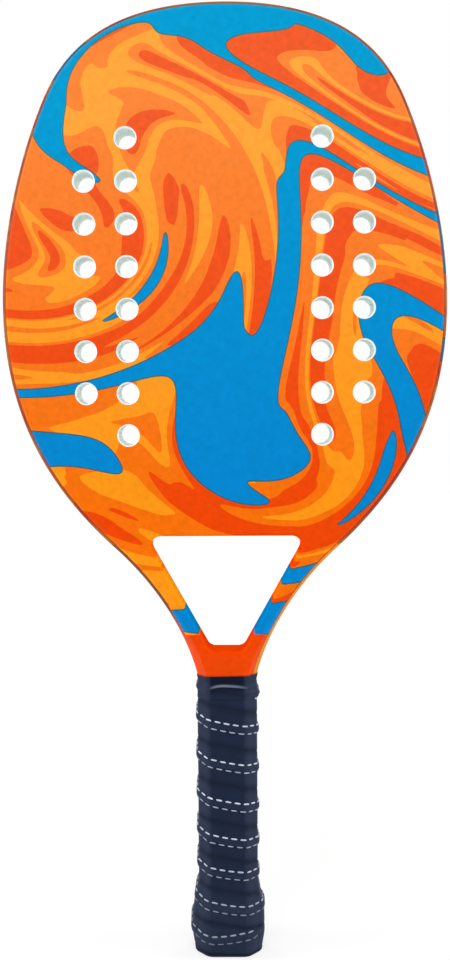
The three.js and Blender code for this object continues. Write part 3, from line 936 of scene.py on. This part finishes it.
VALUE, VECTOR, COLOUR = "NodeSocketFloat", "NodeSocketVector", "NodeSocketColor"


def new_effect(name, inputs, outputs):
    """An empty effect with named sockets, what it is given and what it makes."""
    group = bpy.data.node_groups.new(name, "ShaderNodeTree")
    for way, sockets in (("INPUT", inputs), ("OUTPUT", outputs)):
        for label, kind in sockets.items():
            group.interface.new_socket(label, in_out=way, socket_type=kind)
    return Tree(group), group.nodes.new("NodeGroupInput").outputs, group.nodes.new("NodeGroupOutput").inputs


# Effects that several finishes share
# Where a grip colour is lighter, partly from wear and partly as painted light: on the bevels and over the
# swell
WORN_AND_LIT_ASIDE = (8.4 * MM, 9.8 * MM)
SWELL_WEAR_AND_LIGHT_SHARE = 0.55
DECIMETRES = (10, 0, 10)
# Each swirl's centre in decimetres, its turn and its reach
SWIRLS = (((-0.62, 0, 4.1), 2.7, 0.85), ((0.55, 0, 2.95), 2.5, 0.8), ((0.75, 0, 4.35), -1.6, 0.5))
BAND_TURN = (0, 0.5, 0)
BAND_SCALE = (0.55, 1, 1.75)
BLUE_PLACE = (3.7, 8.2, 0.6)
# Each noise's scale, detail and distortion
BLUE_NOISE = (1.45, 0.8, 0.3)
WARM_NOISE = (1.9, 1.4, 0.5)
RAGGED_NOISE = (7.0, 1.0)
RAGGED = 0.03
GRAIN_DETAIL = 2.0
CLOUD_DETAIL = 3.0
AMBER = srgb(251, 149, 21)
ORANGE = srgb(244, 112, 7)
RED_ORANGE = srgb(236, 70, 3)
BLUE = srgb(2, 132, 204)
OUTLINE = srgb(10, 86, 90)
OUTLINE_SHARE = 0.85
OUTLINE_HALF_WIDTH = 0.33 * MM
# Alpha says how much the painted sheen pales a tone towards the crown
RED_WITH_SHEEN_SHARE = (*RED_ORANGE[:3], 0.6)
WARM_TONES = ((0.44, ORANGE), (0.52, AMBER), (0.6, ORANGE), (0.65, RED_WITH_SHEEN_SHARE))


def swirl_effect():
    """Turns a pattern about a point, most at the point and less with distance."""
    tree, given, made = new_effect(
        "swirl", {"Vector": VECTOR, "Centre": VECTOR, "Turn": VALUE, "Reach": VALUE}, {"Vector": VECTOR}
    )
    away = tree.vector("DISTANCE", given["Vector"], given["Centre"])["Value"]
    near = tree.math("POWER", tree.math("DIVIDE", away, given["Reach"]), 2.0)
    fall = tree.math("EXPONENT", tree.math("MULTIPLY", near, -1.0))
    angle = tree.math("MULTIPLY", fall, given["Turn"])
    inputs = {"Vector": given["Vector"], "Center": given["Centre"], "Angle": angle}
    tree.feed(made["Vector"], tree.add("VectorRotate", inputs, rotation_type="Y_AXIS").outputs[0])
    return tree


def grain_effect():
    """Fine surface grain as a height, and a slower cloudy value for colour and gloss."""
    tree, given, made = new_effect(
        "fine_grain", {"Vector": VECTOR, "Grain Scale": VALUE, "Cloud Scale": VALUE},
        {"Height": VALUE, "Cloud": VALUE},
    )
    tree.feed(made["Height"], tree.noise(given["Vector"], given["Grain Scale"], GRAIN_DETAIL))
    tree.feed(made["Cloud"], tree.noise(given["Vector"], given["Cloud Scale"], CLOUD_DETAIL))
    return tree


def tone_effect():
    """Lightens and darkens a colour a little by a value around one half, up to full white."""
    tree, given, made = new_effect(
        "tone_shift", {"Colour": COLOUR, "Value": VALUE, "Amount": VALUE}, {"Colour": COLOUR}
    )
    centred = tree.math("SUBTRACT", given["Value"], 0.5)
    factor = tree.math("MULTIPLY_ADD", centred, given["Amount"], 1.0)
    shifted = tree.vector("SCALE", given["Colour"], Scale=factor)[0]
    tree.feed(made["Colour"], tree.vector("MINIMUM", shifted, (1, 1, 1))[0])
    return tree


def wear_and_light_effect():
    """Lightens a grip colour on the bevels and over the swell: partly wear where hands rub it, partly
    painted light.
    """
    tree, given, made = new_effect(
        "grip_wear_and_painted_light", {"Vector": VECTOR, "Colour": COLOUR, "Worn Colour": COLOUR}, {"Colour": COLOUR}
    )
    axes = tree.axes(given["Vector"])
    bevel = tree.ramp(tree.math("ABSOLUTE", axes["X"]), *WORN_AND_LIT_ASIDE)
    swell = tree.ramp(axes["Z"], SWELL_START, SWELL_FULL, to_high=SWELL_WEAR_AND_LIGHT_SHARE)
    rubbed_and_lit = tree.math("MAXIMUM", bevel, swell)
    tree.feed(made["Colour"], tree.mix(rubbed_and_lit, given["Colour"], given["Worn Colour"]))
    return tree


def swept_effect():
    """Carries a place on the racket into the swept bands of the marbling, one unit to a decimetre."""
    tree, given, made = new_effect("swept_bands", {"Vector": VECTOR, "Shift": VECTOR}, {"Vector": VECTOR})
    place = tree.mapping(given["Vector"], Scale=DECIMETRES)
    for centre, turn, reach in SWIRLS:
        place = tree.effect(SWIRL, vector=place, centre=centre, turn=turn, reach=reach)[0]
    place = tree.vector("ADD", place, given["Shift"])[0]
    tree.feed(made["Vector"], tree.mapping(place, Rotation=BAND_TURN, Scale=BAND_SCALE))
    return tree


def blue_field_effect():
    """A slow noise over the swept bands; the blue lies where it is high."""
    tree, given, made = new_effect("blue_field", {"Vector": VECTOR, "Shift": VECTOR}, {"Value": VALUE})
    bands = tree.effect(SWEPT, vector=given["Vector"], shift=given["Shift"])[0]
    far = tree.vector("ADD", bands, BLUE_PLACE)[0]
    tree.feed(made["Value"], tree.noise(far, *BLUE_NOISE))
    return tree


def marbling_effect():
    """Marbled paint: warm tones and blue in swept bands, with a thin dark line round the blue."""
    tree, given, made = new_effect(
        "marbled_paint", {"Vector": VECTOR, "Shift": VECTOR, "Blue Level": VALUE},
        {"Colour": COLOUR, "Blue": VALUE, "Sheen Share": VALUE},
    )
    place, shift = given["Vector"], given["Shift"]
    bands = tree.effect(SWEPT, vector=place, shift=shift)[0]
    rag = tree.math("MULTIPLY_ADD", tree.noise(bands, *RAGGED_NOISE), RAGGED, -RAGGED / 2)
    warm = tree.add("ValToRGB", {0: tree.math("ADD", tree.noise(bands, *WARM_NOISE), rag)})
    warm.color_ramp.interpolation = "CONSTANT"
    tones = warm.color_ramp.elements
    tones.remove(tones[1])
    tones[0].color = RED_WITH_SHEEN_SHARE
    for start, tone_colour in WARM_TONES:
        tones.new(start).color = tone_colour

    def blue_at(where):
        return tree.effect(BLUE_FIELD, vector=where, shift=shift)[0]

    field = blue_at(place)
    rises = []
    for step in ((OUTLINE_HALF_WIDTH, 0, 0), (0, 0, OUTLINE_HALF_WIDTH)):
        near = blue_at(tree.vector("ADD", place, step)[0])
        rises.append(tree.math("POWER", tree.math("SUBTRACT", near, field), 2.0))
    slope = tree.math("SQRT", tree.math("ADD", *rises))
    over = tree.math("SUBTRACT", field, given["Blue Level"])
    is_blue = tree.math("GREATER_THAN", over, 0.0)
    on_line = tree.math("LESS_THAN", tree.math("ABSOLUTE", over), slope)
    painted = tree.mix(is_blue, warm.outputs[0], BLUE)
    lined = tree.mix(tree.math("MULTIPLY", on_line, OUTLINE_SHARE), painted, OUTLINE)
    tree.feed(made["Colour"], lined)
    tree.feed(made["Blue"], is_blue)
    # The share of the painted sheen that each colour takes towards the crown
    tree.feed(made["Sheen Share"], tree.math("MAXIMUM", is_blue, warm.outputs["Alpha"]))
    return tree


SWIRL = swirl_effect()
GRAIN = grain_effect()
TONE = tone_effect()
WEAR_AND_LIGHT = wear_and_light_effect()
SWEPT = swept_effect()
BLUE_FIELD = blue_field_effect()
MARBLING = marbling_effect()

# Finishes: roughness and its rise over the pattern, specular level, the relief's strength and depth,
# and where there is a grain, its scale, its cloud's scale and how far the cloud tones the colour
Finish = namedtuple("Finish", "rough rough_rise specular relief depth grain cloud tone", defaults=(0, 0, 0))
PRINTS = {
    part: Finish(0.4, 0.12, specular, 0.25, 0.08 * MM, 1100.0, 330.0, 0.3)
    for part, specular in ((FACE, 0.03), (RIM, 0.12), (THROAT, 0))
}
CUT_LAMINATE = Finish(0.5, 0.2, 0.3, 0.25, 0.1 * MM, 1900.0, 400.0, 0.1)
FOAM = Finish(0.7, 0.2, 0.2, 0.3, 0.12 * MM, 1400.0, 200.0, 0.08)
BARE_LAMINATE = Finish(0.55, -0.15, 0.5, 0.25, 0.1 * MM)
LEATHER = Finish(0.5, 0.16, 0.09, 0.35, 0.1 * MM, 1300.0, 150.0, 0.5)
STRETCH_TAPE = Finish(0.42, 0.14, 0.07, 0.2, 0.1 * MM, 240.0, 60.0, 0.4)
RUBBER = Finish(0.52, 0.16, 0.12, 0.35, 0.1 * MM, 1700.0, 220.0, 0.35)
THREAD = Finish(0.75, -0.1, 0.5, 0.4, 0.08 * MM, 2600.0, 120.0, 0.5)


class Look(Tree):
    """A new material, with its shader and its place on the racket at hand."""

    def __init__(self, name):
        self.material = bpy.data.materials.new(name)
        self.material.use_nodes = True
        super().__init__(self.material.node_tree)
        self.shader = self.graph.nodes["Principled BSDF"]
        self.place = self.add("TexCoord").outputs["Object"]

    def set_shader(self, **values):
        for name, value in values.items():
            self.feed(self.shader.inputs[name.replace("_", " ")], value)

    def grain(self, finish, place=None):
        place = self.place if place is None else place
        return self.effect(GRAIN, vector=place, grain_scale=finish.grain, cloud_scale=finish.cloud)

    def toned(self, colour, value, amount):
        return self.effect(TONE, colour=colour, value=value, amount=amount)[0]

    def dress(self, finish, colour, surface=None, pattern=None, relief=None):
        """Tones a colour by its grain and links it, with gloss and relief, to the shader.

        The gloss follows a pattern and the relief a height: both the grain's own where none is given.
        """
        if surface is not None:
            colour = self.toned(colour, surface["Cloud"], finish.tone)
        pattern = surface["Cloud"] if pattern is None else pattern
        relief = surface["Height"] if relief is None else relief
        bump = self.add("Bump", {"Height": relief, "Strength": finish.relief, "Distance": finish.depth})
        rough = self.math("MULTIPLY_ADD", pattern, finish.rough_rise, finish.rough)
        self.set_shader(Base_Color=colour, Roughness=rough, Normal=bump.outputs[0])
        self.set_shader(Specular_IOR_Level=finish.specular)
        return self.material


# Print of the skins
FRONT_SHIFT = (0, 0, 0)
BACK_SHIFT = (4.2, 2, 6.5)
FACE_BLUE_LEVEL = 0.565
# Painted sheen, added towards the crown: one colour over the warm tones and one over the blue
SHEEN_WARM = srgb(68, 76, 55)
SHEEN_BLUE = srgb(0, 86, 40)
SHEEN_HEIGHTS = (240 * MM, 450 * MM)
SHEEN_POWER = 1.4
NECK_PAINT_HEIGHT = 173 * MM
NECK_PAINT_FADE = 2.5 * MM
NECK_PAINT_NOISE = (30.0, 1.0)
# Painted light: how much the throat's walls are lightened, most away from the faces
THROAT_PAINTED_LIGHT = 0.52
# Side of the racket, with its own print darkened by painted shade, between two thin lines
SIDE_SHIFT = (1.3, 0, 2.4)
SIDE_TURN = (0.5, 0, 1.1)
SIDE_SHADE = (0.4, 0.36, 0.32, 1)
SIDE_BLUE_LEVEL = 0.6
SIDE_PRINT_DEPTHS = (7.9 * MM, 10.6 * MM)
SIDE_ARM_HEIGHT = 224 * MM
ARM_AMBER = srgb(228, 132, 24)
# Painted shade on the left arm's side, brown towards the head
ARM_SHADE_BROWN = srgb(122, 66, 28)
ARM_SHADE_HEIGHTS = (165 * MM, 188 * MM)
SIDE_LINE = srgb(104, 58, 10)
SIDE_LINE_SHARE = 0.6
SIDE_LINE_HALF_WIDTH = 0.18 * MM


def side_print(look, axes, wavy_height, colour):
    """Prints the side over a colour: marbling darkened by painted shade round the head, and plain paint
    down the arms, where painted shade turns the left arm brown towards the head.

    Also gives the side as a mask.
    """
    border = look.ramp(axes["Z"], BEVEL_FULL_HEIGHT, BEVEL_GONE_HEIGHT, *SIDE_PRINT_DEPTHS)
    over_border = look.math("SUBTRACT", look.math("ABSOLUTE", axes["Y"]), border)
    is_right = look.math("GREATER_THAN", axes["X"], 0.0)
    # Painted shade: the left arm's side turns from red-orange to brown going up
    left_arm = look.mix(look.ramp(axes["Z"], *ARM_SHADE_HEIGHTS), RED_ORANGE, ARM_SHADE_BROWN)
    arm = look.mix(is_right, left_arm, ARM_AMBER)
    turned = look.mapping(look.place, Rotation=SIDE_TURN)
    head = look.effect(MARBLING, vector=turned, shift=SIDE_SHIFT, blue_level=SIDE_BLUE_LEVEL)["Colour"]
    # Painted shade darkens the head's side print
    head = look.mix(1.0, head, SIDE_SHADE, "MULTIPLY")
    is_head = look.math("GREATER_THAN", wavy_height, SIDE_ARM_HEIGHT)
    in_side = look.math("LESS_THAN", over_border, 0.0)
    colour = look.mix(in_side, colour, look.mix(is_head, arm, head))
    on_line = look.math("LESS_THAN", look.math("ABSOLUTE", over_border), SIDE_LINE_HALF_WIDTH)
    lined = look.math("MULTIPLY", on_line, look.math("MAXIMUM", is_head, is_right))
    colour = look.mix(look.math("MULTIPLY", lined, SIDE_LINE_SHARE), colour, SIDE_LINE)
    return colour, in_side


def print_material(name, shift, part):
    """Satin print on a fine-grained skin, with a painted sheen that pales it towards the crown; the sides
    carry their own print, darkened by painted shade.
    """
    look = Look(name)
    place = look.place
    marbled = look.effect(MARBLING, vector=place, shift=shift, blue_level=FACE_BLUE_LEVEL)
    axes = look.axes(place)
    waves = look.noise(place, *NECK_PAINT_NOISE)
    wavy_height = look.math("MULTIPLY_ADD", waves, 2 * NECK_PAINT_FADE, axes["Z"])
    is_neck = look.math("LESS_THAN", wavy_height, NECK_PAINT_HEIGHT + NECK_PAINT_FADE)
    colour = look.mix(is_neck, marbled["Colour"], RED_ORANGE)
    sheen_share = marbled["Sheen Share"]
    if part == RIM:
        colour, in_side = side_print(look, axes, wavy_height, colour)
        sheen_share = look.math("MULTIPLY", sheen_share, look.math("SUBTRACT", 1.0, in_side))
    # Painted sheen: the print is lightened towards the crown
    rise = look.math("POWER", look.ramp(axes["Z"], *SHEEN_HEIGHTS), SHEEN_POWER)
    pale = look.mix(marbled["Blue"], SHEEN_WARM, SHEEN_BLUE)
    colour = look.mix(look.math("MULTIPLY", rise, sheen_share), colour, pale, "ADD")
    # Painted light: the throat's walls are lightened to look as lit as the face
    if part == THROAT:
        from_middle = look.math("ABSOLUTE", axes["Y"])
        deep = look.ramp(from_middle, FACE_DEPTH, FACE_DEPTH - THROAT_EDGE_ROUND, to_low=0.5)
        colour = look.toned(colour, deep, THROAT_PAINTED_LIGHT)
    return look.dress(PRINTS[part], colour, look.grain(PRINTS[part]))


# Laminate and foam
CUT_WHITE = srgb(246, 248, 244)
WHITE_FOAM = srgb(242, 251, 247)
WHITE_CELL_SCALE = 700.0
PALE_FOAM = srgb(230, 220, 192)
PALE_CELL_SCALE = 500.0
CELL_TONE = -0.12
FIBRE_TURNS = (0.6, -0.6)
FIBRE_WAVE = (160.0, 1.2)
FIBRE_DARK = srgb(188, 176, 132)
FIBRE_LIGHT = srgb(222, 212, 176)


def laminate_material():
    """White laminate and filler where the drill has cut through the print."""
    look = Look("cut_laminate")
    return look.dress(CUT_LAMINATE, CUT_WHITE, look.grain(CUT_LAMINATE))


def foam_material(name, base, cell_scale):
    """Closed-cell foam: small cells in relief, a little darker between them."""
    look = Look(name)
    cells = look.cells(look.place, cell_scale)
    celled = look.toned(base, cells, CELL_TONE)
    return look.dress(FOAM, celled, look.grain(FOAM), cells, cells)


def bare_laminate_material():
    """Bare glass-fibre laminate: crossed fibre bundles under a thin resin skin."""
    look = Look("bare_laminate")
    ways = [look.mapping(look.place, Rotation=(0, turn, 0)) for turn in FIBRE_TURNS]
    weave = look.math("MAXIMUM", *(look.wave(way, *FIBRE_WAVE) for way in ways))
    colour = look.mix(weave, FIBRE_DARK, FIBRE_LIGHT)
    return look.dress(BARE_LAMINATE, colour, None, weave, weave)


# Grip, tape, cap and thread
NAVY = srgb(24, 35, 57)
# Lighter navy of the bevels and swell: partly wear, partly painted light
WORN_AND_LIT_NAVY = srgb(37, 47, 68)
SEAM_SHADE_NAVY = srgb(17, 27, 47)
CREST_WORN_AND_LIT_NAVY = srgb(38, 51, 76)
CREST_WORN_AND_LIT_SHARE = 0.35
# Shares of the strip's width, from its middle, where painted shade darkens its seam and its rib's crest is
# paler, partly worn and partly a painted highlight
SEAM_SHARES = (0.34, 0.5)
CREST_SHARES = (0.1, 0.03)
PEBBLE_SCALE = 1100.0
PEBBLE_GRAIN = 0.4
TAPE_STRETCH = (1, 1, 9)
TAPE_SHADE = srgb(10, 18, 36)
TAPE_SHADE_HEIGHTS = (141 * MM, 144.5 * MM)
# Painted highlight on the crest of the tape's fold
FOLD_HIGHLIGHT = srgb(108, 118, 138)
RUBBER_NAVY = srgb(20, 29, 52)
PLY_WAVE = (900.0, 2.0)
THREAD_DARK = srgb(176, 182, 205)
THREAD_LIGHT = srgb(224, 228, 240)
THREAD_SHADED = (0.66, 0.68, 0.73, 1)
# The thread darkens towards the butt, between these heights
THREAD_LOW_TINT = (0.5, 0.5, 0.5, 1)
THREAD_DARKENING_HEIGHTS = (15 * MM, 75 * MM)


def wrap_material():
    """Matt navy synthetic leather: pebbled grain, painted shade in the seams, and a paler rib crest, partly
    worn and partly a painted highlight.
    """
    look = Look("navy_leather")
    across = look.axes(look.add("UVMap", uv_map="strip").outputs[0])["Y"]
    from_middle = look.math("ABSOLUTE", look.math("SUBTRACT", across, 0.5))
    seam_shade = look.ramp(from_middle, *SEAM_SHARES)
    crest = look.math("MULTIPLY", look.ramp(from_middle, *CREST_SHARES), CREST_WORN_AND_LIT_SHARE)
    surface = look.grain(LEATHER)
    pebbles = look.cells(look.place, PEBBLE_SCALE, feature="SMOOTH_F1")
    plain = look.effect(WEAR_AND_LIGHT, vector=look.place, colour=NAVY, worn_colour=WORN_AND_LIT_NAVY)[0]
    # Painted shade in the seams; the paler crest is partly wear, partly a painted highlight
    colour = look.mix(crest, look.mix(seam_shade, plain, SEAM_SHADE_NAVY), CREST_WORN_AND_LIT_NAVY)
    relief = look.math("MULTIPLY_ADD", surface["Height"], PEBBLE_GRAIN, pebbles)
    return look.dress(LEATHER, colour, surface, relief=relief)


def fold_highlight_share(look, axes):
    """How much a place lies on the crest of the tape's fold, where a highlight is painted."""
    aside = look.math("SUBTRACT", axes["X"], FOLD_MIDDLE)
    sides = [look.math("DIVIDE", aside, end - FOLD_MIDDLE) for end in (FOLD_RIGHT, FOLD_LEFT)]
    share = look.math("MAXIMUM", *sides)
    level = look.math("MULTIPLY_ADD", look.math("MULTIPLY", share, share), FOLD_SAG, axes["Z"])
    level = look.math("SUBTRACT", level, FOLD_HEIGHT + FOLD_REACH / 4)
    away = look.math("DIVIDE", level, FOLD_REACH)
    crest = look.math("SUBTRACT", 1.0, look.math("MULTIPLY", away, away), clamp=True)
    in_front = look.math("LESS_THAN", axes["Y"], 0.0)
    fade = look.math("SUBTRACT", 1.0, look.math("POWER", share, 3.0), clamp=True)
    return look.math("MULTIPLY", look.math("MULTIPLY", crest, in_front), fade)


def tape_material():
    """Thin navy stretch tape: smooth, with faint lines from its stretch and a painted highlight on the
    crest of its fold.
    """
    look = Look("navy_stretch_tape")
    surface = look.grain(STRETCH_TAPE, look.mapping(look.place, Scale=TAPE_STRETCH))
    axes = look.axes(look.place)
    shaded = look.mix(look.ramp(axes["Z"], *TAPE_SHADE_HEIGHTS), NAVY, TAPE_SHADE)
    plain = look.effect(WEAR_AND_LIGHT, vector=look.place, colour=shaded, worn_colour=WORN_AND_LIT_NAVY)[0]
    return look.dress(STRETCH_TAPE, look.mix(fold_highlight_share(look, axes), plain, FOLD_HIGHLIGHT), surface)


def rubber_material():
    """Moulded navy rubber with a fine eroded texture."""
    look = Look("navy_moulded_rubber")
    return look.dress(RUBBER, RUBBER_NAVY, look.grain(RUBBER))


def thread_material(name, tint):
    """White twisted sewing thread, darker towards the butt."""
    look = Look(name)
    ply = look.wave(look.place, *PLY_WAVE)
    tinted = look.mix(1.0, look.mix(ply, THREAD_DARK, THREAD_LIGHT), tint, "MULTIPLY")
    upper_share = look.ramp(look.axes(look.place)["Z"], *THREAD_DARKENING_HEIGHTS)
    worn = look.mix(upper_share, look.mix(1.0, tinted, THREAD_LOW_TINT, "MULTIPLY"), tinted)
    return look.dress(THREAD, worn, look.grain(THREAD), ply, ply)


# Studio
FLOOR_PALE = srgb(252, 252, 252)


def make_camera():
    data = bpy.data.cameras.new("camera")
    data.sensor_width = SENSOR
    data.lens = LENS
    data.clip_start = CLIP_START
    camera = add_object("camera", data)
    way = (CAMERA_AIM - CAMERA_PLACE).to_track_quat("-Z", "Y").to_matrix().to_4x4()
    camera.matrix_world = Matrix.Translation(CAMERA_PLACE) @ way @ Matrix.Rotation(CAMERA_ROLL, 4, "Z")
    bpy.context.scene.camera = camera


def make_lights():
    for name, place, power in LIGHTS:
        data = bpy.data.lights.new(name, "AREA")
        data.shape = "DISK"
        data.size = LIGHT_SIZE
        data.energy = power
        light = add_object(name, data)
        light.location = place
        light.rotation_euler = (LIGHT_AIM - Vector(place)).to_track_quat("-Z", "Y").to_euler()


def seen_plainly(tree):
    """1 where a surface is seen by the camera, in a reflection or through glass, and else 0."""
    path = tree.add("LightPath").outputs
    seen = tree.math("ADD", path["Is Camera Ray"], path["Is Glossy Ray"])
    return tree.math("ADD", seen, path["Is Transmission Ray"], clamp=True)


def make_world():
    """White to the camera and in reflections, and a soft even light on everything else."""
    world = bpy.data.worlds.new("studio")
    world.use_nodes = True
    tree = Tree(world.node_tree)
    background = tree.graph.nodes["Background"].inputs
    tree.feed(background["Color"], WHITE)
    tree.feed(background["Strength"], tree.math("MULTIPLY_ADD", seen_plainly(tree), 1 - AMBIENT, AMBIENT))
    bpy.context.scene.world = world


def make_floor():
    """A pale floor that runs into the white background and keeps the racket's soft shadow."""
    bm = bmesh.new()
    bmesh.ops.create_grid(bm, x_segments=1, y_segments=1, size=FLOOR_SIZE / 2)
    look = Look("pale_floor")
    colour = look.toned(FLOOR_PALE, look.noise(look.place, *FLOOR_CLOUD), FLOOR_TONE)
    look.set_shader(Base_Color=colour, Roughness=FLOOR_ROUGH, Specular_IOR_Level=FLOOR_SPECULAR)
    away = look.vector("LENGTH", look.place)["Value"]
    white = look.ramp(away, *FLOOR_FADE, to_low=FLOOR_WHITE_SHARE)
    share = look.math("MULTIPLY", seen_plainly(look), white)
    glow = look.add("Emission", {"Color": WHITE, "Strength": FLOOR_GLOW}).outputs[0]
    both = look.add("MixShader", {0: share, 1: look.shader.outputs[0], 2: glow}).outputs[0]
    look.feed(look.graph.nodes["Material Output"].inputs["Surface"], both)
    new_piece("floor", bm, look.material)


# Assembly
def place_piece(piece, slot, *nodes):
    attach(piece, "root")
    if nodes:
        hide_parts(*nodes)


def make_racket():
    laminate = laminate_material()
    walls = print_material("throat_print_painted_light", FRONT_SHIFT, THROAT)
    covers = []
    for side, shift in (("front", FRONT_SHIFT), ("back", BACK_SHIFT)):
        face = print_material(f"{side}_print", shift, FACE)
        rim = print_material(f"{side}_rim", shift, RIM)
        covers.append([face, rim, laminate, walls])
    (front_cover, back_cover), holes = make_skins(*covers)
    place_piece(front_cover, "front_print", "front_skin")
    place_piece(back_cover, "back_print", "back_skin")
    white_foam = foam_material("white_closed_cell", WHITE_FOAM, WHITE_CELL_SCALE)
    place_piece(make_core(holes, white_foam), "white_foam", "foam_core")
    bpy.data.objects.remove(holes)
    place_piece(make_strip(wrap_material()), "navy_wrap", "grip_strip")
    bright = thread_material("white_thread", WHITE)
    shaded = thread_material("shaded_thread", THREAD_SHADED)
    place_piece(make_stitches(bright, shaded), None)
    place_piece(make_tape(tape_material()), "navy_tape", "finishing_tape")
    place_piece(make_cap(rubber_material()), "navy_rubber", "butt_cap")
    bare_laminate = bare_laminate_material()
    pale_foam = foam_material("pale_rigid_foam", PALE_FOAM, PALE_CELL_SCALE)
    use_one_material(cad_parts["frame_tube"], bare_laminate)
    use_one_material(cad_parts["throat_bridge"], bare_laminate)
    use_one_material(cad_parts["handle_filler"], pale_foam)


scene = bpy.context.scene
scene.view_settings.view_transform = "Standard"
make_camera()
make_racket()
make_lights()
make_world()
make_floor()
